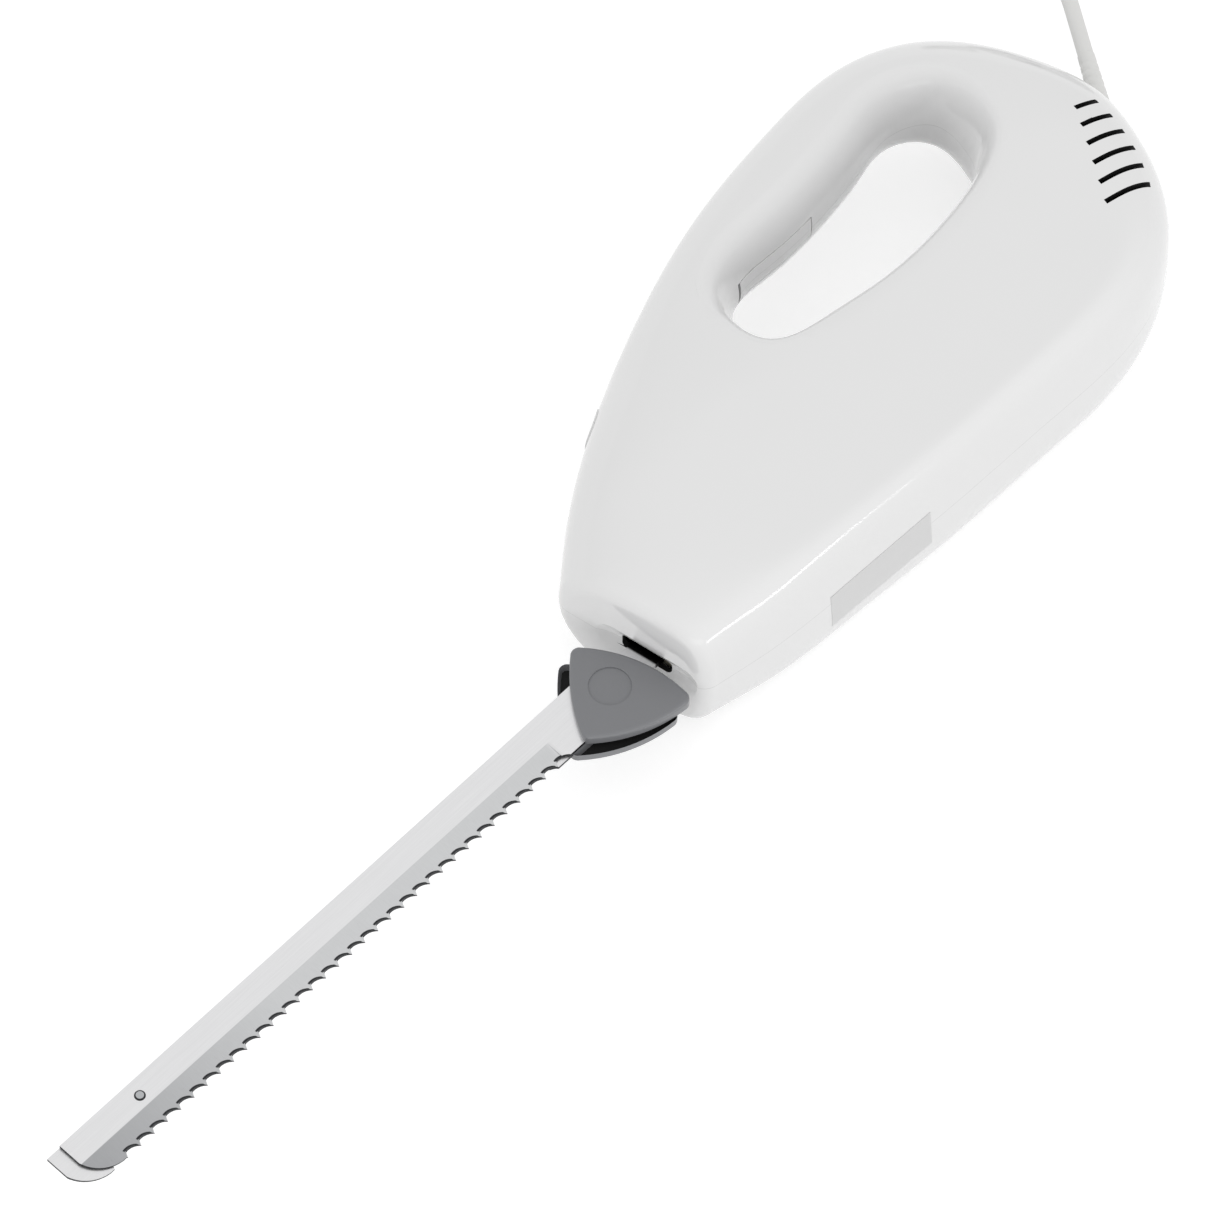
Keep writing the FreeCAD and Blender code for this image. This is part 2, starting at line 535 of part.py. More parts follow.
# Worm, one right-hand thread with a crest over the wheel's lowest tooth gap.
lead = math.pi * SZ["tooth_module"]
turns = math.floor(SZ["worm_reach"] / lead)
helix = Part.makeHelix(lead, 2 * turns * lead, SZ["worm_core_radius"])
half_root, half_crest = SZ["thread_width"], SZ["thread_crest"]
sunk = SZ["worm_core_radius"] - SZ["thread_crest"]
profile = Part.makePolygon([
    V(sunk, 0, -half_root), V(SZ["worm_radius"], 0, -half_crest), V(SZ["worm_radius"], 0, half_crest),
    V(sunk, 0, half_root), V(sunk, 0, -half_root)])
thread = Part.Wire(helix.Edges).makePipeShell([profile], True, True)
thread.translate(V(0, 0, -turns * lead))
core = Part.makeCylinder(SZ["worm_core_radius"], 2 * SZ["worm_reach"], V(0, 0, -SZ["worm_reach"]))
limit = Part.makeCylinder(2 * SZ["worm_radius"], 2 * SZ["worm_reach"], V(0, 0, -SZ["worm_reach"]))
shaft_bore = Part.makeCylinder(SZ["shaft_radius"], 2 * SZ["worm_reach"], V(0, 0, -SZ["worm_reach"]))
worm = feature("drive_worm", core.fuse(thread).common(limit).cut(shaft_bore).removeSplitter())
worm.Placement = FreeCAD.Placement(V(0, SZ["motor_y"], MID),
                                   FreeCAD.Rotation(V(0, 1, 0), V(0, 0, 1), V(1, 0, 0), "XYZ"))
node(worm, "drive_worm")

# Motor
node(rod("armature_shaft", "X", "shaft_radius", "-shaft_front", "shaft_rear", y="motor_y"), "armature_shaft")
core = new_body("armature_core")
core_disc = sketch(core, "YZ_Plane", "core_disc", ("motor_y", "half_thickness", "stack_front"),
                   ("circle", "0", "0", "bore_radius - air_gap"), ("circle", "0", "0", "shaft_radius"))
pad(core, core_disc, "stack_rear - stack_front")
core_slot = sketch(
    core, "YZ_Plane", "core_slot", ("motor_y", "half_thickness", "stack_front"),
    [("bore_radius - air_gap - core_slot_depth", "-core_slot_width / 2"),
     ("bore_radius + air_gap", "-core_slot_width / 2"),
     ("bore_radius + air_gap", "core_slot_width / 2"),
     ("bore_radius - air_gap - core_slot_depth", "core_slot_width / 2")])
polar(core, pocket(core, core_slot), core_slot, "core_slots")
rings = []
for name, start in (("front", "stack_front - winding_length"), ("rear", "stack_rear")):
    rings.append(cut(f"{name}_winding",
                     rod(f"{name}_winding_disc", "X", "winding_radius", start, f"{start} + winding_length",
                         y="motor_y"),
                     rod(f"{name}_winding_bore", "X", "shaft_radius", start, f"{start} + winding_length",
                         y="motor_y")))
node(gather("armature_winding", *rings), "armature_winding")
comm = new_body("commutator")
comm_disc = sketch(comm, "YZ_Plane", "comm_disc", ("motor_y", "half_thickness", "comm_front"),
                   ("circle", "0", "0", "comm_radius"), ("circle", "0", "0", "shaft_radius"))
pad(comm, comm_disc, "comm_rear - comm_front")
comm_slit = sketch(
    comm, "YZ_Plane", "comm_slit_profile", ("motor_y", "half_thickness", "comm_front"),
    [("comm_radius - comm_slit_depth", "-comm_slit / 2"), ("comm_radius + comm_slit_depth", "-comm_slit / 2"),
     ("comm_radius + comm_slit_depth", "comm_slit / 2"), ("comm_radius - comm_slit_depth", "comm_slit / 2")])
polar(comm, pocket(comm, comm_slit), comm_slit, "core_slots")

stator = new_body("stator_core")
flat_y, flat_z = "stator_half_y - stator_corner", "stator_half_z - stator_corner"
stack = sketch(
    stator, "YZ_Plane", "stator_outline", ("motor_y", "half_thickness", "stack_front"),
    [(f"-({flat_y})", "-stator_half_z"), (flat_y, "-stator_half_z", "stator_corner", 1),
     ("stator_half_y", f"-({flat_z})"), ("stator_half_y", flat_z, "stator_corner", 1),
     (flat_y, "stator_half_z"), (f"-({flat_y})", "stator_half_z", "stator_corner", 1),
     ("-stator_half_y", flat_z), ("-stator_half_y", f"-({flat_z})", "stator_corner", 1)],
    ("circle", "0", "0", "bore_radius"),
    *[[(f"{y} * slot_in", f"{z} * slot_near"), (f"{y} * slot_out", f"{z} * slot_near"),
       (f"{y} * slot_out", f"{z} * slot_far"), (f"{y} * slot_in", f"{z} * slot_far")]
      for y in (-1, 1) for z in (-1, 1)])
pad(stator, stack, "stack_rear - stack_front")
coils = []
for name, sign in (("upper", 1), ("lower", -1)):
    low, high = span(sign, "slot_in + coil_gap", "slot_out - coil_gap")
    ends = "coil_stand + coil_end"
    coils.append(cut(
        f"{name}_coil",
        box(f"{name}_coil_block", f"stack_front - {ends}", f"stack_rear + {ends}", f"motor_y + {low}",
            f"motor_y + {high}",
            "-slot_far + coil_gap", "slot_far - coil_gap"),
        box(f"{name}_coil_middle", "stack_front - coil_stand", "stack_rear + coil_stand", f"motor_y + {low}",
            f"motor_y + {high}", "-slot_near - coil_gap", "slot_near + coil_gap")))
node(gather("field_coils", *coils), "field_coils")

# Rear bridge with the brush gear.
bridge_rear = "bridge_front + bridge_thickness"
brush_mid = "(comm_front + comm_rear) / 2"
holder_rear = f"{brush_mid} + brush_half_x + holder_wall"
arms, holders, brushes, springs = [], [], [], []
for name, sign in (("left", 1), ("right", -1)):
    low, high = span(sign, "holder_in", "holder_out")
    arm_low, arm_high = span(sign, "brush_out", "holder_out")
    arms.append(box(f"{name}_arm", holder_rear, "bridge_front", "motor_y - brush_half_y - holder_wall",
                    "motor_y + brush_half_y + holder_wall", arm_low, arm_high))
    hole_low, hole_high = span(sign, "holder_in", "holder_out - holder_cap")
    holders.append(cut(
        f"{name}_holder",
        box(f"{name}_holder_block", f"{brush_mid} - brush_half_x - holder_wall", holder_rear,
            "motor_y - brush_half_y - holder_wall", "motor_y + brush_half_y + holder_wall", low, high),
        box(f"{name}_holder_hole", f"{brush_mid} - brush_half_x", f"{brush_mid} + brush_half_x",
            "motor_y - brush_half_y", "motor_y + brush_half_y", hole_low, hole_high)))
    brush_low, brush_high = span(sign, "comm_radius + brush_touch", "brush_out")
    brushes.append(box(f"{name}_brush", f"{brush_mid} - brush_half_x", f"{brush_mid} + brush_half_x",
                       "motor_y - brush_half_y", "motor_y + brush_half_y", brush_low, brush_high))
    room = SZ["holder_out"] - SZ["holder_cap"] - SZ["brush_out"] - 2 * SZ["spring_wire"]
    coil = Part.makeHelix(room / SZ["brush_spring_turns"], room, SZ["brush_spring_radius"])
    ring = Part.Wire([Part.Circle(V(SZ["brush_spring_radius"], 0, 0), V(0, 1, 0),
                                  SZ["spring_wire"]).toShape()])
    spring = feature(f"{name}_brush_spring", Part.Wire(coil.Edges).makePipeShell([ring], True, True))
    base = SZ["brush_out"] + SZ["spring_wire"]
    middle = (SZ["comm_front"] + SZ["comm_rear"]) / 2
    spring.Placement = FreeCAD.Placement(
        V(middle, SZ["motor_y"], MID + (base if sign > 0 else -base - room)), FreeCAD.Rotation())
    springs.append(spring)
bridge = fuse("bridge_body",
              box("bridge_plate", "bridge_front", bridge_rear, "motor_y - bridge_half_y",
                  "motor_y + bridge_half_y",
                  "-bridge_half_z", "bridge_half_z"), *arms)
node(cut("rear_bridge", bridge, bush_hole), "rear_bridge")
node(gather("brush_holders", *holders), "brush_holders")
node(gather("carbon_brushes", *brushes), "carbon_brushes")
node(gather("brush_springs", *springs), "brush_springs")
bushes = []
for name, start in (("front", bush_front), ("rear", "bridge_front + bridge_thickness / 2 - bush_length / 2")):
    bushes.append(cut(f"{name}_bush",
                      rod(f"{name}_bush_disc", "X", "bush_radius", start, f"{start} + bush_length",
                          y="motor_y"),
                      rod(f"{name}_bush_bore", "X", "shaft_radius + run_gap", start,
                          f"{start} + bush_length", y="motor_y")))
node(gather("shaft_bushes", *bushes), "shaft_bushes")

fan = new_body("cooling_fan")
fan_at = ("motor_y", "half_thickness", "fan_front")
pad(fan, sketch(fan, "YZ_Plane", "fan_back", fan_at, ("circle", "0", "0", "fan_radius"),
                ("circle", "0", "0", "shaft_radius")), "fan_plate")
pad(fan, sketch(fan, "YZ_Plane", "fan_hub", fan_at, ("circle", "0", "0", "fan_hub_radius"),
                ("circle", "0", "0", "shaft_radius")), "fan_length")
vane = sketch(fan, "YZ_Plane", "fan_vane", fan_at,
              [("fan_hub_radius - fan_blade", "-fan_blade / 2"), ("fan_radius - fan_blade", "-fan_blade / 2"),
               ("fan_radius - fan_blade", "fan_blade / 2"), ("fan_hub_radius - fan_blade", "fan_blade / 2")])
polar(fan, pad(fan, vane, "fan_length"), vane, "fan_blades")

doc.recompute()

# Trigger, its pin and the switch it works.
trigger_blank = doc.addObject("PartDesign::Body", "trigger_blank")
lever_side = sketch(
    trigger_blank, "XY_Plane", "trigger_side", ("0", "0", "half_thickness"),
    [("trigger_front", "trigger_low"), ("trigger_rear", "trigger_low"),
     ("trigger_rear", "pivot_y - pin_boss_radius"), ("lug_rear", "pivot_y - pin_boss_radius"),
     ("lug_rear", "lug_top"), ("trigger_rear", "lug_top"), ("trigger_rear - trigger_round", "trigger_top"),
     ("nib_x + nib_half", "trigger_top"), ("nib_x + nib_half", "nib_top"), ("nib_x - nib_half", "nib_top"),
     ("nib_x - nib_half", "trigger_top"), ("trigger_front", "trigger_top")],
    ("circle", "pivot_x", "pivot_y", "pin_radius + run_gap"))
pad(trigger_blank, lever_side, "2 * trigger_half", True)
node(rod("trigger_pin", "Z", "pin_radius", "-pin_half", "pin_half", "pivot_x", "pivot_y"), "trigger_pin")


def wire_coil(name, radius, wire, pitch, count, spot, turn):
    """Open coil of wire standing on a spot."""
    path = Part.makeLongHelix(pitch, pitch * count, radius)
    ring = Part.Wire([Part.Circle(V(radius, 0, 0), V(0, 1, 0), wire).toShape()])
    made = feature(name, Part.Wire(path.Edges).makePipeShell([ring], True, True))
    made.Placement = FreeCAD.Placement(spot, turn)
    return made


gap_pitch = (SZ["pin_boss_in"] - SZ["trigger_half"] - 4 * SZ["trigger_spring_wire"]) / SZ["coil_turns"]
node(wire_coil("trigger_spring", SZ["coil_radius"], SZ["trigger_spring_wire"], gap_pitch, SZ["coil_turns"],
               V(SZ["pivot_x"], SZ["pivot_y"], MID + SZ["trigger_half"] + 2 * SZ["trigger_spring_wire"]),
               FreeCAD.Rotation()), "trigger_spring")
node(cut("switch_body",
         box("switch_block", "switch_front", "switch_rear", "switch_low", "switch_high", "-switch_half",
             "switch_half"),
         rod("plunger_bore", "Y", "plunger_radius + run_gap", "switch_low", "switch_low + plunger_hole",
             "nib_x")),
     "switch_body")
node(rod("switch_plunger", "Y", "plunger_radius", "nib_top + plunger_gap",
         "nib_top + plunger_gap + plunger_length",
         "nib_x"), "switch_plunger")

# Blade release: button square to the sloping top, stem, and a bell-crank lever under it.
lean = math.radians(SZ["button_lean"])
button_up = V(-math.sin(lean), math.cos(lean), 0)


def button_spot(station):
    """Point on the axis of the release button, stations counted outwards from the skin."""
    return V(SZ["button_x"], SZ["button_y"], MID) + button_up * station


spring_length = SZ["release_spring_pitch"] * SZ["release_spring_turns"]
spring_foot = -SZ["button_deep"] - spring_length - SZ["release_spring_wire"]
node(wire_coil("release_spring", SZ["release_spring_radius"], SZ["release_spring_wire"],
               SZ["release_spring_pitch"],
               SZ["release_spring_turns"], button_spot(spring_foot),
               FreeCAD.Rotation(V(0, 0, 1), button_up)), "release_spring")
pad_deep = "(button_deep + stem_length + lever_pad_gap)"
pad_x, pad_y = f"button_x + sin(button_lean) * {pad_deep}", f"button_y - cos(button_lean) * {pad_deep}"
crank = new_body("release_lever")
crank_side = sketch(
    crank, "XY_Plane", "lever_side", ("0", "0", "half_thickness"),
    [("lever_tip_x - lever_arm / 2", "lever_tip_y"), ("lever_tip_x + lever_arm / 2", "lever_tip_y"),
     ("lever_x + lever_hub", "lever_y - lever_arm"),
     (f"{pad_x} + cos(button_lean) * lever_pad_half + sin(button_lean) * lever_arm",
      f"{pad_y} + sin(button_lean) * lever_pad_half - cos(button_lean) * lever_arm"),
     (f"{pad_x} + cos(button_lean) * lever_pad_half", f"{pad_y} + sin(button_lean) * lever_pad_half"),
     (f"{pad_x} - cos(button_lean) * lever_pad_half", f"{pad_y} - sin(button_lean) * lever_pad_half"),
     ("lever_x", "lever_y + lever_hub"), ("lever_x - lever_hub", "lever_y")],
    ("circle", "lever_x", "lever_y", "pin_radius + run_gap"))
pad(crank, crank_side, "2 * lever_half", True)
node(rod("lever_pin", "Z", "pin_radius", "-lever_pin_half", "lever_pin_half", "lever_x", "lever_y"),
     "lever_pin")
node(box("suppression_capacitor", "cap_x", "cap_x + cap_long", "cap_y", "cap_y + cap_wide",
         "wall - half_thickness", "wall - half_thickness + cap_high"), "suppression_capacitor")

# Side outline of the housing at the parting plane: share of the body length behind the front reach,
# share of the crown height (above the blades) or of the keel depth (below them).
side_shares = [
    (-0.126, -0.095), (-0.092, -0.48), (0.021, -0.67), (0.126, -0.80), (0.260, -0.880), (0.440, -0.959),
    (0.608, -0.984), (0.738, -0.984), (0.843, -0.775), (0.928, -0.229), (0.972, 0.140), (0.988, 0.336),
    (0.974, 0.526), (0.943, 0.725), (0.878, 0.906), (0.781, 0.996), (0.671, 0.992), (0.520, 0.938),
    (0.354, 0.811), (0.207, 0.649), (0.074, 0.449), (-0.016, 0.276), (-0.101, 0.117)]
# Outline of the flat side panel, point for point.
panel_shares = [
    (0.190, 0.021), (0.199, -0.20), (0.225, -0.41), (0.268, -0.525), (0.346, -0.61), (0.468, -0.678),
    (0.619, -0.695), (0.727, -0.627), (0.797, -0.39), (0.835, -0.034), (0.851, 0.085), (0.855, 0.159),
    (0.846, 0.217), (0.823, 0.249), (0.784, 0.243), (0.732, 0.212), (0.658, 0.180), (0.519, 0.185),
    (0.416, 0.233), (0.303, 0.307), (0.229, 0.275), (0.199, 0.169), (0.190, 0.095)]
# How square the edge between outline and panel is, point for point (two is an ellipse).
edge_shares = [2.2, 2.2, 2.6, 3, 3, 3, 3, 3, 2.8, 2.5, 2.4, 2.3, 2.2, 2, 2, 2, 2, 2, 2, 2, 2.1, 2.2, 2.2]
level_shares = [0, 0.25, 0.5, 0.72, 0.86, 0.94, 0.985, 1]
# Hand hole at the parting plane, in the shares of the side outline.
hole_shares = [
    (0.4155, 0.495), (0.430, 0.390), (0.492, 0.352), (0.555, 0.328), (0.612, 0.320), (0.662, 0.326),
    (0.707, 0.340), (0.750, 0.362), (0.788, 0.400), (0.812, 0.448), (0.826, 0.530), (0.825, 0.650),
    (0.792, 0.711), (0.753, 0.722), (0.717, 0.703), (0.675, 0.685), (0.632, 0.672), (0.587, 0.664),
    (0.539, 0.664), (0.489, 0.665), (0.455, 0.638), (0.429, 0.575)]
flare_shares = [0, 0.25, 0.5, 0.7, 0.85, 1]
round_share = 0.552
lip_dots = 5
slope_share = 0.8
tiny_share = 1e-9
boss_shares = [(0.068, 0.224), (0.352, -0.51), (0.335, 0.53), (0.893, 0.633), (0.797, -0.508), (0.713, 0.837)]


def side_point(share):
    """Point of the side view given by a pair of shares."""
    along, height = share
    scale = SZ["crown_height"] if height > 0 else SZ["keel_depth"]
    return V(along * SZ["body_length"] - SZ["front_reach"], height * scale, 0)


def normals(points):
    """Outward unit normals of a closed counter-clockwise row of points."""
    count = len(points)
    result = []
    for i in range(count):
        run = points[(i + 1) % count] - points[i - 1]
        result.append(V(run.y, -run.x, 0).normalize())
    return result


def closed_wire(points):
    """Smooth closed wire through points."""
    curve = Part.BSplineCurve()
    curve.interpolate(Points=points, PeriodicFlag=True)
    return Part.Wire([curve.toShape()])


def both_ways(shares):
    """Levels below and above the parting plane."""
    return [-s for s in reversed(shares[1:])] + shares


def body_form(inset):
    """Solid of the whole housing, drawn in by an inset on all sides."""
    rim = [side_point(s) for s in side_shares]
    rim = [p - n * inset for p, n in zip(rim, normals(rim))]
    panel = [side_point(s) for s in panel_shares]
    high = SZ["half_thickness"] - inset
    wires = []
    for level in both_ways(level_shares):
        ring = []
        for p, q, power in zip(rim, panel, edge_shares):
            drawn = 1 - (1 - abs(level) ** power) ** (1 / power)
            ring.append(p + (q - p) * drawn + V(0, 0, MID + level * high))
        wires.append(closed_wire(ring))
    return Part.makeLoft(wires, True, False)


ROOM = 2 * SZ["body_length"]


def behind_nose(depth):
    """Space behind the tilted nose plane, starting at a depth behind it."""
    space = Part.makeBox(ROOM, ROOM, ROOM, V(depth, -ROOM / 2, MID - ROOM / 2))
    space.Placement = FreeCAD.Placement(V(-SZ["nose_reach"], 0, 0),
                                        FreeCAD.Rotation(V(0, 0, 1), SZ["nose_tilt"]))
    return space


def nose_prism(high, wide, corner, start, depth, drop):
    """Rounded block square to the nose plane."""
    block = Part.makeBox(depth, high, wide, V(start, -high / 2 - drop, -wide / 2))
    along = [e for e in block.Edges if abs(e.tangentAt(e.FirstParameter).x) > 0.5]
    block = block.makeFillet(corner, along)
    block.Placement = FreeCAD.Placement(V(-SZ["nose_reach"], 0, MID),
                                        FreeCAD.Rotation(V(0, 0, 1), SZ["nose_tilt"]))
    return block


def nose_dish(high, radius, depth, drop):
    """Long rounded tool that leaves a shallow dish in the nose plane."""
    wide = 2 * math.sqrt(2 * radius * depth - depth ** 2)
    foot = V(depth - radius, -(high - wide) / 2 - drop, 0)
    head = V(depth - radius, (high - wide) / 2 - drop, 0)
    bar = Part.makeCylinder(radius, high - wide, foot, V(0, 1, 0))
    tool = bar.fuse([Part.makeSphere(radius, foot), Part.makeSphere(radius, head)])
    tool.Placement = FreeCAD.Placement(V(-SZ["nose_reach"], 0, MID),
                                       FreeCAD.Rotation(V(0, 0, 1), SZ["nose_tilt"]))
    return tool


whole = body_form(0).common(behind_nose(0))
nose_lean = math.radians(SZ["nose_tilt"])
nose_way = V(math.cos(nose_lean), math.sin(nose_lean), 0)
nose_foot = V(-SZ["nose_reach"], 0, 0)
lip = [e for e in whole.Edges
       if all(abs((p - nose_foot).dot(nose_way)) < SZ["touch"] for p in e.discretize(lip_dots))]
whole = whole.makeFillet(SZ["nose_edge_radius"], lip)
hole_rim = [side_point(s) for s in hole_shares]
hole_out = normals(hole_rim)


def skin_height(point):
    """Height of the outer skin above the parting plane at a point of the side view."""
    line = Part.makeLine(point + V(0, 0, MID), point + V(0, 0, 2 * MID + SZ["spare"]))
    return whole.common(line).BoundBox.ZMax - MID


flares = [SZ["body_flare"] + (SZ["handle_flare"] - SZ["body_flare"]) * max(n.y, 0) for n in hole_out]
mouths = [skin_height(p + n * f) + SZ["run_gap"] for p, n, f in zip(hole_rim, hole_out, flares)]
falls = [slope_share * max(skin_height(p + n * f) - skin_height(p + n * (f + SZ["wall"])), 0) / SZ["wall"]
         for p, n, f in zip(hole_rim, hole_out, flares)]


def flare_point(share, flare, mouth, fall):
    """Reach and height on the flare: upright at the parting plane, along the skin at the mouth."""
    lift = mouth * round_share
    back = flare * round_share
    first, second, third = 3 * share * (1 - share) ** 2, 3 * share ** 2 * (1 - share), share ** 3
    reach = second * (flare - back) + third * flare
    return reach, first * lift + second * (mouth + fall * back) + third * mouth


def tunnel(grow):
    """Solid of the hand hole with its rim flared out to the skin on both sides, grown by a wall."""
    wires = []
    for level in both_ways(flare_shares):
        sign = -1 if level < 0 else 1
        ring = []
        for p, n, flare, mouth, fall in zip(hole_rim, hole_out, flares, mouths, falls):
            reach, height = flare_point(abs(level), flare, mouth - grow, fall)
            ring.append(p + n * (grow + reach) + V(0, 0, MID + sign * height))
        wires.append(closed_wire(ring))
    faces = Part.makeLoft(wires, False, False).Faces
    for wire, sign in ((wires[0], -1), (wires[-1], 1)):
        top = closed_wire([V(p.x, p.y, 0) + n * (grow + f) + V(0, 0, MID + sign * (MID + SZ["spare"]))
                           for p, n, f in zip(hole_rim, hole_out, flares)])
        faces += Part.makeLoft([wire, top], False, True).Faces
        faces.append(Part.Face(top))
    shell = Part.makeShell(faces)
    shell.sewShape()
    solid = Part.makeSolid(shell)
    solid.fix(SZ["touch"], SZ["touch"], SZ["sew"])
    return solid


hand_hole = tunnel(0)
hand_wall = tunnel(SZ["wall"])
node(feature("trigger", trigger_blank.Shape.cut(hand_hole)), "trigger")


def plain_box(x0, x1, y0, y1, z0, z1):
    """Box from numbers, heights counted from the parting plane."""
    return Part.makeBox(x1 - x0, y1 - y0, z1 - z0, V(x0, y0, MID + z0))


def seat_rib(start, foot, head, seat_low, seat_high, seat_half):
    """Cross rib of the housing with a rectangular seat for a piece inside."""
    slab = plain_box(start, start + SZ["rib_thickness"], foot, head, -MID, MID)
    return slab.cut(plain_box(start, start + SZ["rib_thickness"], seat_low, seat_high, -seat_half, seat_half))


under = -SZ["keel_depth"] - SZ["spare"]
motor_top = SZ["motor_y"] + SZ["stator_half_y"]
motor_low = SZ["motor_y"] - SZ["stator_half_y"]
frame_low = -SZ["frame_floor"] - SZ["floor_thickness"]
ribs = [
    seat_rib(-SZ["guide_front"] + SZ["rib_thickness"], under, SZ["guide_half_y"] + SZ["wall"],
             -SZ["guide_half_y"], SZ["guide_half_y"], SZ["guide_half_z"]),
    seat_rib(-2 * SZ["rib_thickness"], under, SZ["frame_top"], frame_low, SZ["frame_top"],
             SZ["guide_half_z"]),
    seat_rib(SZ["stack_front"] + SZ["rib_thickness"], under, motor_top + SZ["wall"], motor_low, motor_top,
             SZ["stator_half_z"]),
    seat_rib(SZ["stack_rear"] - 2 * SZ["rib_thickness"], under, motor_top + SZ["wall"], motor_low,
             motor_top, SZ["stator_half_z"]),
    seat_rib(SZ["bridge_front"], under, SZ["motor_y"] + SZ["bridge_half_y"] + SZ["wall"],
             SZ["motor_y"] - SZ["bridge_half_y"], SZ["motor_y"] + SZ["bridge_half_y"], SZ["bridge_half_z"]),
    seat_rib(SZ["switch_rear"] - 2 * SZ["rib_thickness"], SZ["switch_low"], SZ["crown_height"],
             SZ["switch_low"], SZ["switch_high"], SZ["switch_half"])]


def upright(point, radius, low, high):
    """Upright cylinder at a point of the side view, heights counted from the parting plane."""
    return Part.makeCylinder(radius, high - low, point + V(0, 0, MID + low))


boss_spots = [side_point(s) for s in boss_shares]
bosses = [upright(p, SZ["boss_radius"], -MID, MID) for p in boss_spots]
trigger_axis = V(SZ["pivot_x"], SZ["pivot_y"], 0)
lever_axis = V(SZ["lever_x"], SZ["lever_y"], 0)
for axis, inner in ((trigger_axis, SZ["pin_boss_in"]), (lever_axis, SZ["lever_boss_in"])):
    bosses.append(upright(axis, SZ["pin_boss_radius"], inner, MID))
    bosses.append(upright(axis, SZ["pin_boss_radius"], -MID, -inner))
well_low = spring_foot - SZ["release_spring_wire"] - SZ["button_travel"] - SZ["stem_gap"]
bosses.append(Part.makeCylinder(SZ["button_radius"] + SZ["button_gap"] + SZ["well_wall"],
                                SZ["well_floor"] - well_low,
                                button_spot(well_low - SZ["well_floor"]), button_up))
inside = body_form(SZ["wall"]).common(behind_nose(SZ["nose_wall"])).cut([hand_wall] + ribs + bosses)

cord_lean = math.radians(SZ["exit_lean"])
cord_way = V(math.cos(cord_lean), math.sin(cord_lean), 0)
cord_exit = V(SZ["exit_x"], SZ["exit_y"], MID)
openings = [hand_hole, inside]
openings.append(nose_dish(SZ["recess_high"], SZ["recess_round"], SZ["recess_depth"], SZ["recess_drop"]))
openings.append(nose_prism(SZ["mouth_high"], SZ["mouth_wide"], SZ["mouth_corner"], -SZ["spare"],
                           2 * SZ["spare"], SZ["mouth_drop"]))
for i in range(round(SZ["vent_count"])):
    x = SZ["vent_first_x"] + i * SZ["vent_step"]
    y = SZ["vent_first_y"] + i * SZ["vent_pitch"]
    for low, high in ((SZ["vent_edge"], 2 * MID), (-2 * MID, -SZ["vent_edge"])):
        slot = plain_box(0, SZ["body_length"], 0, SZ["vent_width"], low, high)
        slot.rotate(V(0, 0, 0), V(0, 0, 1), -SZ["vent_tilt"])
        slot.translate(V(x, y, 0))
        openings.append(slot)
openings.append(plain_box(
    SZ["trigger_front"] - SZ["trigger_swing"], SZ["trigger_rear"] + SZ["trigger_gap"],
    SZ["trigger_low"] - SZ["spare"],
    SZ["trigger_top"], -SZ["trigger_half"] - SZ["trigger_gap"], SZ["trigger_half"] + SZ["trigger_gap"]))
openings.append(Part.makeCylinder(SZ["button_radius"] + SZ["button_gap"], SZ["spare"] - well_low,
                                  button_spot(well_low),
                                  button_up))
openings.append(Part.makeCylinder(SZ["stem_radius"] + SZ["stem_gap"], 2 * SZ["well_floor"],
                                  button_spot(well_low - 2 * SZ["well_floor"]), button_up))
openings.append(Part.makeCylinder(SZ["sleeve_big"] + SZ["sleeve_gap"], SZ["sleeve_in"] + SZ["body_length"],
                                  cord_exit - cord_way * SZ["sleeve_in"], cord_way))
for p in boss_spots:
    openings.append(upright(p, SZ["screw_hole_radius"], -SZ["head_seat"], SZ["screw_reach"]))
    openings.append(upright(p, SZ["head_hole_radius"], -2 * MID, -SZ["head_seat"]))
openings.append(upright(trigger_axis, SZ["pin_radius"], -SZ["pin_half"], SZ["pin_half"]))
openings.append(upright(lever_axis, SZ["pin_radius"], -SZ["lever_pin_half"], SZ["lever_pin_half"]))
shell = whole.cut(openings)
button_head = Part.makeCylinder(SZ["button_radius"], SZ["button_deep"] + SZ["button_reach"],
                                button_spot(-SZ["button_deep"]),
                                button_up).common(body_form(-SZ["button_proud"]))
button_stem = Part.makeCylinder(SZ["stem_radius"], SZ["stem_length"],
                                button_spot(-SZ["button_deep"] - SZ["stem_length"]), button_up)
node(feature("release_button", button_head.fuse(button_stem).removeSplitter()), "release_button")
left_half = shell.common(plain_box(-ROOM, ROOM, -ROOM, ROOM, 0, 2 * MID))
right_half = shell.common(plain_box(-ROOM, ROOM, -ROOM, ROOM, -2 * MID, 0))
node(feature("left_housing", left_half), "left_housing")
node(feature("right_housing", right_half), "right_housing")
screws = []
for i, p in enumerate(boss_spots):
    shank = upright(p, SZ["screw_radius"], -SZ["head_seat"], SZ["screw_reach"] - SZ["run_gap"])
    head = upright(p, SZ["head_radius"], -SZ["head_seat"] - SZ["head_height"], -SZ["head_seat"])
    screws.append(shank.fuse(head))
node(feature("housing_screws", Part.makeCompound(screws)), "housing_screws")

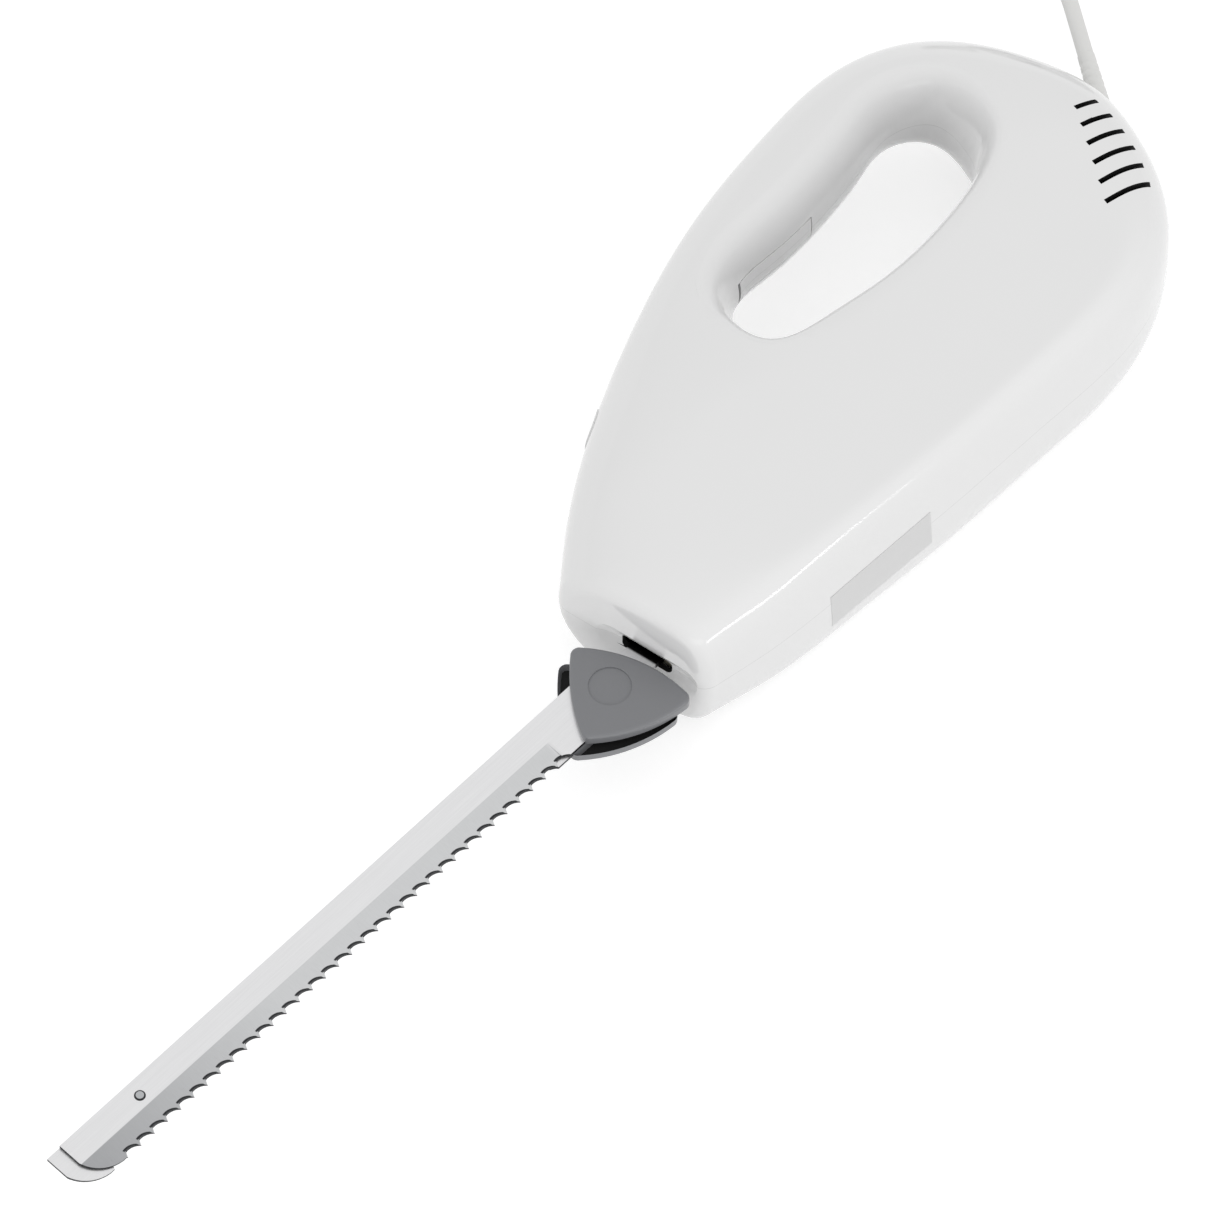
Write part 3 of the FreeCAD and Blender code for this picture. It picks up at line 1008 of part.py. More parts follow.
# Cord sleeve, and the cord as one run down to the table, a two-layer coil and a straight tail to the plug.
sleeve = Part.makeCone(SZ["sleeve_big"], SZ["sleeve_small"], SZ["sleeve_out"], cord_exit, cord_way)
sleeve = sleeve.fuse(Part.makeCylinder(SZ["sleeve_big"], SZ["sleeve_in"],
                                       cord_exit - cord_way * SZ["sleeve_in"], cord_way))
flange_foot = cord_exit - cord_way * (SZ["sleeve_in"] + SZ["flange_length"])
sleeve = sleeve.fuse(Part.makeCylinder(SZ["flange_radius"], SZ["flange_length"], flange_foot, cord_way))
sleeve_bore = Part.makeCylinder(SZ["cord_radius"] + SZ["sleeve_gap"], ROOM,
                                cord_exit - cord_way * SZ["body_length"], cord_way)
node(feature("cord_sleeve", sleeve.cut(sleeve_bore).removeSplitter()), "cord_sleeve")


def corner_arc(start, corner, end):
    """Arc from start to end whose end tangents meet in a corner."""
    middle = (start + end) * 0.5
    half = (end - start).Length / 2
    rise = (corner - middle).Length
    lift = half * math.tan(math.atan2(rise, half) / 2)
    return Part.Arc(start, middle + (corner - middle) * (lift / rise), end).toShape()


def two_arcs(start, way_out, end, way_in):
    """Two arcs that join two points smoothly with given directions."""
    run = end - start
    both = way_out + way_in
    spread = 2 * (1 - way_out.dot(way_in))
    if spread < tiny_share:
        reach = run.dot(run) / (4 * run.dot(way_in))
    else:
        lean_run = run.dot(both)
        reach = (math.sqrt(lean_run ** 2 + spread * run.dot(run)) - lean_run) / spread
    first, second = start + way_out * reach, end - way_in * reach
    joint = (first + second) * 0.5
    return [corner_arc(start, first, joint), corner_arc(joint, second, end)]


def tube(edges):
    """Cord solid along a chain of edges."""
    path = Part.Wire(edges)
    first = edges[0]
    foot = first.valueAt(first.FirstParameter)
    ring = Part.Wire([Part.Circle(foot, first.tangentAt(first.FirstParameter), SZ["cord_radius"]).toShape()])
    return path.makePipeShell([ring], True, False)


coil_lean = math.radians(SZ["coil_way"])
ahead_way = V(math.cos(coil_lean), math.sin(coil_lean), 0)
entry_side = V(-ahead_way.y, ahead_way.x, 0)
entry = V(SZ["entry_x"], SZ["entry_y"], SZ["layer_low"])
centre = entry - entry_side * SZ["coil_outer"] - V(0, 0, SZ["layer_low"])
free_start = cord_exit - cord_way * SZ["cord_inside"]
free_turn = cord_exit + cord_way * SZ["straight_out"]
free_run = [Part.makeLine(free_start, free_turn)] + two_arcs(free_turn, cord_way, entry, ahead_way)
node(feature("power_cord", tube(free_run)), "power_cord")
low_radii = [SZ["coil_outer"] - SZ["coil_step"] * k for k in range(round(SZ["low_half_turns"]))]
high_radii = [SZ["climb_radius"]]
high_radii += [SZ["coil_inner"] + SZ["coil_step"] * k for k in range(round(SZ["high_half_turns"]))]
stations = [(r, SZ["layer_low"]) for r in low_radii]
stations += [(r, SZ["layer_low"] + SZ["layer_gap"]) for r in high_radii]
coil_edges = []
for k in range(len(stations) - 1):
    sign = 1 if k % 2 == 0 else -1
    (near_radius, near_high), (far_radius, far_high) = stations[k], stations[k + 1]
    coil_edges += two_arcs(centre + entry_side * (sign * near_radius) + V(0, 0, near_high), ahead_way * sign,
                           centre - entry_side * (sign * far_radius) + V(0, 0, far_high), ahead_way * -sign)
coil_end = coil_edges[-1].valueAt(coil_edges[-1].LastParameter)
plug_foot = coil_end + ahead_way * SZ["tail"]
coil_edges.append(Part.makeLine(coil_end, plug_foot))
node(feature("cord_coil", tube(coil_edges)), "cord_coil")
tie_turn = FreeCAD.Rotation(V(0, 0, 1), SZ["coil_way"])
tie_high = SZ["layer_low"] + SZ["layer_gap"] + SZ["cord_radius"] + SZ["tie_gap"]
tie_low = SZ["layer_low"] - SZ["cord_radius"] - SZ["tie_gap"]
band = Part.makeBox(SZ["tie_out"] - SZ["tie_in"] + 2 * SZ["tie_thickness"], SZ["tie_width"],
                    tie_high - tie_low + 2 * SZ["tie_thickness"],
                    V(SZ["tie_in"] - SZ["tie_thickness"], -SZ["tie_width"] / 2,
                      tie_low - SZ["tie_thickness"]))
band = band.cut(Part.makeBox(SZ["tie_out"] - SZ["tie_in"], SZ["tie_width"], tie_high - tie_low,
                             V(SZ["tie_in"], -SZ["tie_width"] / 2, tie_low)))
tie = feature("cord_tie", band)
tie.Placement = FreeCAD.Placement(centre, tie_turn)
node(tie, "cord_tie")

# Flat two-pin plug lying beside the coil.
plug = new_body("plug_body")
plug_high = "(layer_low + layer_gap)"
plug_side = sketch(
    plug, "XY_Plane", "plug_outline", ("0", "0", "0"),
    [("0", "-plug_neck"), ("plug_taper", "-plug_half"), ("plug_long", "-plug_half"),
     ("plug_long", "plug_half"), ("plug_taper", "plug_half"), ("0", "plug_neck")])
plug_slab = pad(plug, plug_side, f"2 * {plug_high}", True)
softened = plug.newObject("PartDesign::Fillet", "plug_soft_edges")
softened.Base = (plug_slab, [f"Edge{i}" for i, e in enumerate(plug_slab.Shape.Edges, 1)
                             if abs(e.Vertexes[0].Point.z - e.Vertexes[-1].Point.z) < SZ["run_gap"]
                             and min(v.Point.x for v in e.Vertexes) < SZ["plug_long"]
                             and max(v.Point.x for v in e.Vertexes) > SZ["run_gap"]])
bind(softened, Radius="plug_edge")
plug.Placement = FreeCAD.Placement(plug_foot, tie_turn)
plug_face = plug_foot + ahead_way * SZ["plug_long"]
node(feature("plug_pins", Part.makeCompound([
    Part.makeCylinder(SZ["plug_pin_radius"], SZ["plug_pin_long"],
                      plug_face + entry_side * (s * SZ["plug_pin_apart"]), ahead_way)
    for s in (-1, 1)])), "plug_pins")

doc.recompute()
os.makedirs("parts", exist_ok=True)
for thing in doc.Objects:
    if {"Invalid", "Error"} & set(thing.State):
        raise ValueError(f"{thing.Name}: {thing.getStatusString()}")
for thing in NODES:
    if thing.Shape.isNull() or not thing.Shape.isValid():
        raise ValueError(f"{thing.Label} has no valid shape")
    print(thing.Label, round(thing.Shape.Volume, 1), len(thing.Shape.Solids))
    thing.Shape.exportStep(f"parts/{thing.Label}.step")
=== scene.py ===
"""Looks of a corded electric carving knife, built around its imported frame."""

import logging
import math
from collections.abc import Callable, Iterable
from dataclasses import dataclass
from enum import Enum
from functools import cache

import bpy
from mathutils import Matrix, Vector


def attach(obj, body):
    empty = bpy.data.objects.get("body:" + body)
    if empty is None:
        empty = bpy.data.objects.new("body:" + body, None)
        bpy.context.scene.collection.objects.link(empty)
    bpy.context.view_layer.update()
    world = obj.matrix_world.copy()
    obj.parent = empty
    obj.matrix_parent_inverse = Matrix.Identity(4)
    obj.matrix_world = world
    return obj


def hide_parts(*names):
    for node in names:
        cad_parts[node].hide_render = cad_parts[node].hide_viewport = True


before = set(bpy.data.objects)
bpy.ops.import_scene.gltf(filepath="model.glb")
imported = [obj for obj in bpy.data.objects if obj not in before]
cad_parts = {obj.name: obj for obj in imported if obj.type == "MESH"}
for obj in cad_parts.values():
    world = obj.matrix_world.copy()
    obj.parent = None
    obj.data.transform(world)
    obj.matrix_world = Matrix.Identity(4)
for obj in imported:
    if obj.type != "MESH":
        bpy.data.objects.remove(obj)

Colour = tuple[float, float, float, float]
Piece = bpy.types.Object
Point = tuple[float, float, float]
Socket = bpy.types.NodeSocket
Tree = bpy.types.NodeTree

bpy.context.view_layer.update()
MM = 0.001
# Height of the plane where the two halves of the shell meet.
MID = 29 * MM
# Where the cord leaves the shell.
CORD_EXIT: Point = (0.1876, 0.0313, 0.029)
# Points of a CAD node's loose triangles that lie closer than this are one point.
WELD = 2e-6
# Share of an axis in the direction of a face that looks along it.
FACING = 0.9
# Sockets of the Mix node by number, because their names repeat.
MIX_FACTOR, VALUE_A, VALUE_B, COLOUR_A, COLOUR_B = 0, 2, 3, 6, 7
VALUE_OUT, COLOUR_OUT = 0, 2
# Length of one band of the wave texture at scale 1.
WAVE_UNIT = 0.314
# Octaves of slow unevenness and of fine grain.
CLOUD_DETAIL, GRAIN_DETAIL = 2.0, 3.0
log = logging.getLogger("carving_knife")


class Body(str, Enum):
    """Moving bodies of the knife that pieces ride on."""

    HOUSING = "housing"
    LEFT_KNIFE = "left_knife"
    RIGHT_KNIFE = "right_knife"
    TRIGGER = "trigger"
    BUTTON = "button"


class Slot(str, Enum):
    """Material slots of the record."""

    HOUSING = "housing_white"
    GUARD = "guard_grey"
    BLADE = "blade_steel"
    CORD = "cord_white"
    TIE = "tie_grey"
    PLUG = "plug_white"
    PIN = "pin_nickel"


class Crease(float, Enum):
    """Angles in degrees above which an edge of a piece stays sharp."""

    BLADE = 20.0
    SHELL = 35.0
    TRIM = 40.0
    DOME = 60.0


class Element(str, Enum):
    """Parts of a mesh that a test can select."""

    FACE = "FACE"
    POINT = "VERT"


def linear(text: str, light: float = 1.0) -> Colour:
    """Turn an sRGB hex value into a linear colour.

    Args:
        text: Colour as #rrggbb.
        light: Share of its light that is kept.

    Returns:
        Linear red, green, blue and full alpha.
    """
    parts = [int(text[i:i + 2], 16) / 255 for i in (1, 3, 5)]
    red, green, blue = (
        light * (p / 12.92 if p <= 0.04045 else ((p + 0.055) / 1.055) ** 2.4) for p in parts)
    return red, green, blue, 1.0


def add_node(tree: Tree, kind: str, inputs: dict | None = None, **settings: object) -> bpy.types.Node:
    """Add a shader node with its settings and links.

    Args:
        tree: Node tree of a material or world.
        kind: Node type.
        inputs: Socket name or number to a value, or to the output socket that feeds it.
        settings: Attributes of the node.

    Returns:
        The new node.
    """
    node = tree.nodes.new(kind)
    for name, value in settings.items():
        setattr(node, name, value)
    for name, value in (inputs or {}).items():
        if isinstance(value, Socket):
            tree.links.new(value, node.inputs[name])
        else:
            node.inputs[name].default_value = value
    return node


@dataclass(frozen=True)
class Finish:
    """Surface with one colour, a fine grain and an even gloss."""

    name: str
    colour: str
    roughness: float
    metallic: float = 0.0
    ior: float = 1.5
    grain_mm: float = 0.8
    grain_depth_mm: float = 0.004
    shade: float = 0.03
    shade_mm: float = 25.0

    @cache
    def build(self) -> bpy.types.Material:
        """Make the material, once.

        Returns:
            The finished material.
        """
        material = bpy.data.materials.new(self.name)
        material.use_nodes = True
        tree = material.node_tree
        shader = tree.nodes["Principled BSDF"]
        shader.inputs["Metallic"].default_value = self.metallic
        if not self.metallic:
            shader.inputs["IOR"].default_value = self.ior
        shader.inputs["Roughness"].default_value = self.roughness
        place = add_node(tree, "ShaderNodeTexCoord").outputs["Object"]
        self.dress(tree, shader, place)
        return material

    def dress(self, tree: Tree, shader: bpy.types.Node, place: Socket) -> None:
        """Add colour and relief.

        Args:
            tree: Node tree of the material.
            shader: Its surface shader.
            place: Coordinates in metres.
        """
        tree.links.new(self.tint(tree, place), shader.inputs["Base Color"])
        tree.links.new(self.relief(tree, self.grain(tree, place)), shader.inputs["Normal"])

    def tint(self, tree: Tree, place: Socket) -> Socket:
        """Colour the surface with slow, slight unevenness.

        Args:
            tree: Node tree of the material.
            place: Coordinates in metres.

        Returns:
            The colour.
        """
        cloud = add_node(tree, "ShaderNodeTexNoise", {
            "Vector": place, "Scale": 1 / (self.shade_mm * MM), "Detail": CLOUD_DETAIL})
        mix = add_node(tree, "ShaderNodeMix", {
            MIX_FACTOR: cloud.outputs["Fac"], COLOUR_A: linear(self.colour, 1 - self.shade),
            COLOUR_B: linear(self.colour)}, data_type="RGBA")
        return mix.outputs[COLOUR_OUT]

    def grain(self, tree: Tree, place: Socket) -> Socket:
        """Return the height of the fine grain, from 0 to 1."""
        noise = add_node(tree, "ShaderNodeTexNoise", {
            "Vector": place, "Scale": 1 / (self.grain_mm * MM), "Detail": GRAIN_DETAIL})
        return noise.outputs["Fac"]

    def relief(self, tree: Tree, height: Socket) -> Socket:
        """Return the surface direction with a relief of the grain's depth."""
        bump = add_node(tree, "ShaderNodeBump", {
            "Height": height, "Distance": self.grain_depth_mm * MM, "Strength": 1.0})
        return bump.outputs["Normal"]


@dataclass(frozen=True)
class SeamedPlastic(Finish):
    """Moulded shell whose two halves meet in a fine dark seam at one height."""

    seam_colour: str = "#c9c9c8"
    seam_mm: float = 29.0
    seam_half_mm: float = 0.1
    seam_core_share: float = 0.5

    def tint(self, tree: Tree, place: Socket) -> Socket:
        """Colour the surface, darker along the seam.

        Args:
            tree: Node tree of the material.
            place: Coordinates in metres.

        Returns:
            The colour.
        """
        edge = self.seam_half_mm * MM
        height = add_node(tree, "ShaderNodeSeparateXYZ", {0: place}).outputs["Z"]
        off = add_node(tree, "ShaderNodeMath", {0: height, 1: self.seam_mm * MM}, operation="SUBTRACT")
        away = add_node(tree, "ShaderNodeMath", {0: off.outputs[0]}, operation="ABSOLUTE")
        flat = add_node(tree, "ShaderNodeMapRange", {
            "Value": away.outputs[0], "From Min": edge * self.seam_core_share, "From Max": edge})
        mix = add_node(tree, "ShaderNodeMix", {
            MIX_FACTOR: flat.outputs[0], COLOUR_A: linear(self.seam_colour),
            COLOUR_B: super().tint(tree, place)}, data_type="RGBA")
        return mix.outputs[COLOUR_OUT]


@dataclass(frozen=True)
class BrushedSteel(Finish):
    """Rolled strip with lines along it, and a ground band with lines across it below a height."""

    line_mm: float = 0.25
    stretch: float = 60.0
    ground_colour: str = "#d0d1d2"
    ground_top_mm: float = -0.6
    ground_top_soft_mm: float = 0.1
    ground_rear_mm: float = -84.0
    ground_rear_soft_mm: float = 1.0
    inner_face_mm: float = 0.2
    # Painted reflection: the ground band darkens toward the tip.
    tip_reflection_colour: str = "#aaabad"
    tip_mm: tuple[float, float] = (-268.0, -195.0)
    # Painted shade: the tang goes near black inside the shell's mouth.
    tang_shade_colour: str = "#121212"
    tang_mm: float = -44.2
    tang_soft_mm: float = 0.3
    tang_tilt_degrees: float = 9.5
    roughness_spread: tuple[float, float] = (-0.06, 0.08)

    def dress(self, tree: Tree, shader: bpy.types.Node, place: Socket) -> None:
        """Add both ways of brushing and painted shade on the tang inside the shell's mouth.

        Args:
            tree: Node tree of the material.
            shader: Its surface shader.
            place: Coordinates in metres.
        """
        axes = add_node(tree, "ShaderNodeSeparateXYZ", {0: place})
        ground = self.ground(tree, axes)
        lines = self.lines(tree, place, ground)
        low, high = self.roughness_spread
        rough = add_node(tree, "ShaderNodeMapRange", {
            "Value": lines, "To Min": self.roughness + low, "To Max": self.roughness + high})
        tree.links.new(self.steel(tree, axes, ground, lines), shader.inputs["Base Color"])
        tree.links.new(rough.outputs[0], shader.inputs["Roughness"])
        tree.links.new(self.relief(tree, lines), shader.inputs["Normal"])

    def ground(self, tree: Tree, axes: bpy.types.Node) -> Socket:
        """Mark the ground band along the cutting edge of a blade's outer face.

        Args:
            tree: Node tree of the material.
            axes: Node that splits the coordinates.

        Returns:
            1 on the band, else 0.
        """
        level = add_node(tree, "ShaderNodeMath", {0: axes.outputs["Z"], 1: MID}, operation="SUBTRACT")
        away = add_node(tree, "ShaderNodeMath", {0: level.outputs[0]}, operation="ABSOLUTE")
        band = add_node(tree, "ShaderNodeMath", {
            0: away.outputs[0], 1: self.inner_face_mm * MM}, operation="GREATER_THAN")
        for axis, limit, soft in (("Y", self.ground_top_mm, self.ground_top_soft_mm),
                                  ("X", self.ground_rear_mm, self.ground_rear_soft_mm)):
            side = add_node(tree, "ShaderNodeMapRange", {
                "Value": axes.outputs[axis],
                "From Min": (limit + soft) * MM, "From Max": (limit - soft) * MM})
            band = add_node(
                tree, "ShaderNodeMath", {0: band.outputs[0], 1: side.outputs[0]}, operation="MULTIPLY")
        return band.outputs[0]

    def lines(self, tree: Tree, place: Socket, ground: Socket) -> Socket:
        """Draw the brushed lines, along the strip and across its ground band.

        Args:
            tree: Node tree of the material.
            place: Coordinates in metres.
            ground: 1 on the ground band.

        Returns:
            Their height, from 0 to 1.
        """
        fine = 1 / (self.line_mm * MM)
        ways = []
        for scale in ((fine / self.stretch, fine, fine), (fine, fine / self.stretch, fine)):
            turned = add_node(tree, "ShaderNodeMapping", {"Vector": place, "Scale": scale})
            noise = add_node(tree, "ShaderNodeTexNoise", {
                "Vector": turned.outputs[0], "Scale": 1.0, "Detail": CLOUD_DETAIL})
            ways.append(noise.outputs["Fac"])
        mix = add_node(tree, "ShaderNodeMix", {MIX_FACTOR: ground, VALUE_A: ways[0], VALUE_B: ways[1]})
        return mix.outputs[VALUE_OUT]

    def steel(self, tree: Tree, axes: bpy.types.Node, ground: Socket, lines: Socket) -> Socket:
        """Colour the strip and its ground band, with a painted reflection that darkens the band toward the
        tip and painted shade on the tang.

        Args:
            tree: Node tree of the material.
            axes: Node that splits the coordinates.
            ground: 1 on the ground band.
            lines: Height of the brushed lines.

        Returns:
            The colour.
        """
        from_tip = add_node(tree, "ShaderNodeMapRange", {
            "Value": axes.outputs["X"], "From Min": self.tip_mm[0] * MM, "From Max": self.tip_mm[1] * MM})
        band = add_node(tree, "ShaderNodeMix", {
            MIX_FACTOR: from_tip.outputs[0], COLOUR_A: linear(self.tip_reflection_colour),
            COLOUR_B: linear(self.ground_colour)}, data_type="RGBA")
        strip = add_node(tree, "ShaderNodeMix", {
            MIX_FACTOR: ground, COLOUR_A: linear(self.colour), COLOUR_B: band.outputs[COLOUR_OUT]},
            data_type="RGBA")
        streak = add_node(tree, "ShaderNodeMapRange", {
            "Value": lines, "To Min": 1 - self.shade, "To Max": 1.0})
        brushed = add_node(tree, "ShaderNodeMix", {
            MIX_FACTOR: 1.0, COLOUR_A: strip.outputs[COLOUR_OUT], COLOUR_B: streak.outputs[0]},
            data_type="RGBA", blend_type="MULTIPLY")
        tilt = math.tan(math.radians(self.tang_tilt_degrees))
        behind = add_node(tree, "ShaderNodeMath", {
            0: axes.outputs["Y"], 1: tilt, 2: axes.outputs["X"]}, operation="MULTIPLY_ADD")
        tang = add_node(tree, "ShaderNodeMapRange", {
            "Value": behind.outputs[0], "From Min": (self.tang_mm - self.tang_soft_mm) * MM,
            "From Max": (self.tang_mm + self.tang_soft_mm) * MM})
        whole = add_node(tree, "ShaderNodeMix", {
            MIX_FACTOR: tang.outputs[0], COLOUR_A: brushed.outputs[COLOUR_OUT],
            COLOUR_B: linear(self.tang_shade_colour)}, data_type="RGBA")
        return whole.outputs[COLOUR_OUT]


@dataclass(frozen=True)
class Banded(Finish):
    """Layers or turns that show as even bands along one axis."""

    band_mm: float = 0.6
    axis: str = "X"
    band_shade: float = 0.35

    def tint(self, tree: Tree, place: Socket) -> Socket:
        """Return the colour, darkened between the bands."""
        mix = add_node(tree, "ShaderNodeMix", {
            MIX_FACTOR: self.grain(tree, place), COLOUR_A: linear(self.colour, 1 - self.band_shade),
            COLOUR_B: linear(self.colour)}, data_type="RGBA")
        return mix.outputs[COLOUR_OUT]

    def grain(self, tree: Tree, place: Socket) -> Socket:
        """Return the height of the bands, from 0 to 1."""
        wave = add_node(tree, "ShaderNodeTexWave", {
            "Vector": place, "Scale": WAVE_UNIT / (self.band_mm * MM), "Distortion": 0.0},
            bands_direction=self.axis)
        return wave.outputs["Fac"]


# Injection-moulded glossy ABS: clean white, sharp highlights, faint orange peel.
WHITE_ABS = SeamedPlastic(
    "white_moulded_abs", "#eeeeee", 0.1, ior=1.54, grain_mm=3.0, grain_depth_mm=0.002, shade=0.012)
# Spark-eroded polypropylene: satin mid grey with a fine even grain.
GREY_PP = Finish("grey_satin_polypropylene", "#7e7f82", 0.3, ior=1.49, grain_mm=0.5, grain_depth_mm=0.012)
# Rolled stainless strip, belt-ground along the cutting edge: bright streaks one way, duller the other.
# The lines are drawn coarser than real ones, so that they show.
# Its ground band carries a painted reflection that darkens toward the tip, and its tang painted shade inside
# the mouth.
BLADE_STEEL = BrushedSteel(
    "brushed_stainless_blade", "#e6e6e7", 0.30, metallic=1.0, grain_depth_mm=0.006, shade=0.12)
# Painted shade: dark, dull steel on the blades' tooth walls and left tip, on the sheets over the tooth bevels
# and round the rivet's heads.
SHADE_STEEL = Finish(
    "steel_painted_shade", "#3b3c3e", 0.5, metallic=1.0, grain_mm=0.3, grain_depth_mm=0.01, shade=0.2)
# Painted shade: near black on the inner walls of narrow openings, on the inside behind them and in the
# guards' hollows, where no light comes back.
SHADOW_BLACK = Finish("painted_shade_black", "#0b0b0c", 0.8, grain_mm=0.8, grain_depth_mm=0.01)
# Turned or drawn steel: even grey shine.
BRIGHT_STEEL = Finish("drawn_steel", "#b4b6b8", 0.28, metallic=1.0, grain_mm=0.6, grain_depth_mm=0.003)
# Acetal: waxy ivory, half matt.
ACETAL = Finish("ivory_acetal", "#e4dfcd", 0.38, ior=1.48, grain_mm=1.2)
# Glass-filled nylon: near black with a dry mottle.
BLACK_NYLON = Finish(
    "black_glass_filled_nylon", "#1b1b1c", 0.55, ior=1.53, grain_mm=0.7, grain_depth_mm=0.01, shade=0.2)
# Stacked motor laminations: dark steel with a line at every sheet.
LAMINATIONS = Banded("motor_laminations", "#5c5d60", 0.45, metallic=1.0, band_mm=0.5, grain_depth_mm=0.02)
# Enamelled copper wire: warm metal with a line at every turn.
COPPER_WIRE = Banded(
    "enamelled_copper_wire", "#b4673a", 0.35, metallic=1.0, band_mm=0.7, axis="Y", grain_depth_mm=0.08)
# Pressed carbon: dead black.
CARBON = Finish("pressed_carbon", "#18181a", 0.7, grain_mm=0.4, grain_depth_mm=0.01)
# Sintered bronze: brown metal with open pores.
BRONZE = Finish(
    "sintered_bronze", "#9c7440", 0.5, metallic=1.0, grain_mm=0.3, grain_depth_mm=0.02, shade=0.15)
# Dipped film capacitor: mustard epoxy, smooth.
EPOXY = Finish("mustard_epoxy", "#c8a437", 0.35, grain_mm=2.0)
# Soft PVC sheath: white, satin, slightly uneven.
WHITE_PVC = Finish("white_soft_pvc", "#e6e6e4", 0.4, ior=1.53, grain_mm=1.5, grain_depth_mm=0.02)
# Coated wire tie: dark satin plastic.
TIE_PLASTIC = Finish("dark_tie_plastic", "#3a3b3d", 0.5, grain_mm=0.6, grain_depth_mm=0.02)
# Nickel-plated brass: warm bright metal.
NICKEL = Finish("nickel_plate", "#cfcac0", 0.2, metallic=1.0, grain_mm=0.8, grain_depth_mm=0.002)
# Blank label stock: pale grey satin film.
FILM = Finish("blank_label_film", "#d9d9d9", 0.3, ior=1.5, grain_mm=0.7, grain_depth_mm=0.004)

NODE_FINISHES: dict[Finish, tuple[str, ...]] = {
    WHITE_ABS: ("left_housing", "right_housing", "release_button", "trigger"),
    GREY_PP: ("left_blade_guard", "right_blade_guard"),
    BLADE_STEEL: ("left_blade", "right_blade"),
    BRIGHT_STEEL: (
        "blade_rivet", "cover_screws", "wheel_axle", "armature_shaft", "drive_worm", "brush_springs",
        "trigger_pin", "trigger_spring", "release_spring", "lever_pin", "housing_screws"),
    ACETAL: ("worm_wheel", "left_drive_slider", "right_drive_slider", "release_lever", "switch_plunger"),
    BLACK_NYLON: (
        "gear_frame", "frame_cover", "guide_block", "rear_bridge", "brush_holders", "cooling_fan",
        "switch_body"),
    LAMINATIONS: ("armature_core", "stator_core"),
    COPPER_WIRE: ("armature_winding", "commutator", "field_coils"),
    CARBON: ("carbon_brushes",),
    BRONZE: ("shaft_bushes",),
    EPOXY: ("suppression_capacitor",),
    WHITE_PVC: ("cord_sleeve", "power_cord", "cord_coil", "plug_body"),
    TIE_PLASTIC: ("cord_tie",),
    NICKEL: ("plug_pins",),
}


def coat(piece: Piece, *finishes: Finish) -> None:
    """Give a piece its finishes, the first one all over.

    Args:
        piece: Mesh or curve object.
        finishes: Its finishes, in the order of their slots.
    """
    piece.data.materials.clear()
    for finish in finishes:
        piece.data.materials.append(finish.build())
    if isinstance(piece.data, bpy.types.Mesh):
        piece.data.polygons.foreach_set("material_index", [0] * len(piece.data.polygons))


def settle(piece: Piece, body: Body) -> Piece:
    """Make a finished piece ride its body.

    Args:
        piece: Finished piece.
        body: Body that carries it.

    Returns:
        The piece.
    """
    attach(piece, body.value)
    log.info("%s rides %s", piece.name, body.value)
    return piece


def add_object(name: str, data: bpy.types.ID) -> Piece:
    """Put a mesh, curve, lamp or camera into the scene.

    Args:
        name: Name of the object.
        data: What it holds.

    Returns:
        The new object.
    """
    thing = bpy.data.objects.new(name, data)
    bpy.context.scene.collection.objects.link(thing)
    return thing


def start(name: str, primitive: Callable[..., object], **settings: object) -> Piece:
    """Add a primitive to shape, with nothing else selected.

    Args:
        name: Name of the piece.
        primitive: Operator that adds it.
        settings: Its size and place.

    Returns:
        The new object.
    """
    bpy.ops.object.select_all(action="DESELECT")
    primitive(**settings)
    piece = bpy.context.object
    piece.name = name
    return piece


def take(piece: Piece) -> None:
    """Make one piece the only selected and the active one.

    Args:
        piece: The piece to work on.
    """
    bpy.ops.object.select_all(action="DESELECT")
    piece.select_set(True)
    bpy.context.view_layer.objects.active = piece


def edit(piece: Piece, *steps: Callable[[], object]) -> None:
    """Work on a whole piece in edit mode.

    Args:
        piece: The piece to work on.
        steps: Operators in order, with all of the mesh selected before the first.
    """
    take(piece)
    bpy.ops.object.mode_set(mode="EDIT")
    bpy.ops.mesh.select_all(action="SELECT")
    for step in steps:
        step()
    bpy.ops.object.mode_set(mode="OBJECT")


def pick(piece: Piece, kind: Element, wanted: Callable[..., bool]) -> None:
    """Go into edit mode with some faces or points of a piece selected.

    Args:
        piece: The piece to work on.
        kind: What is selected.
        wanted: Tells whether a face or point is meant.
    """
    take(piece)
    bpy.ops.object.mode_set(mode="EDIT")
    bpy.ops.mesh.select_mode(type=kind.value)
    bpy.ops.mesh.select_all(action="DESELECT")
    bpy.ops.object.mode_set(mode="OBJECT")
    for element in piece.data.polygons if kind is Element.FACE else piece.data.vertices:
        element.select = wanted(element)
    bpy.ops.object.mode_set(mode="EDIT")


def settle_place(piece: Piece) -> None:
    """Put a piece's place, turn and scale into its mesh."""
    take(piece)
    bpy.ops.object.transform_apply(location=True, rotation=True, scale=True)


def face_outwards(piece: Piece) -> None:
    """Turn all faces of a closed piece outwards."""
    edit(piece, lambda: bpy.ops.mesh.normals_make_consistent(inside=False))


def apply_modifier(piece: Piece, kind: str, **settings: object) -> None:
    """Add a modifier and apply it.

    Args:
        piece: The piece to finish.
        kind: Modifier type.
        settings: Its values.
    """
    take(piece)
    modifier = piece.modifiers.new(kind.lower(), kind)
    for name, value in settings.items():
        setattr(modifier, name, value)
    bpy.ops.object.modifier_apply(modifier=modifier.name)


def round_edges(piece: Piece, width: float, steps: int, degrees: float) -> None:
    """Round the edges of a piece where its faces meet at more than an angle.

    Args:
        piece: The piece to finish.
        width: Width of the rounding.
        steps: Faces across it.
        degrees: The angle.
    """
    apply_modifier(piece, "BEVEL", width=width, segments=steps, limit_method="ANGLE",
                   angle_limit=math.radians(degrees))


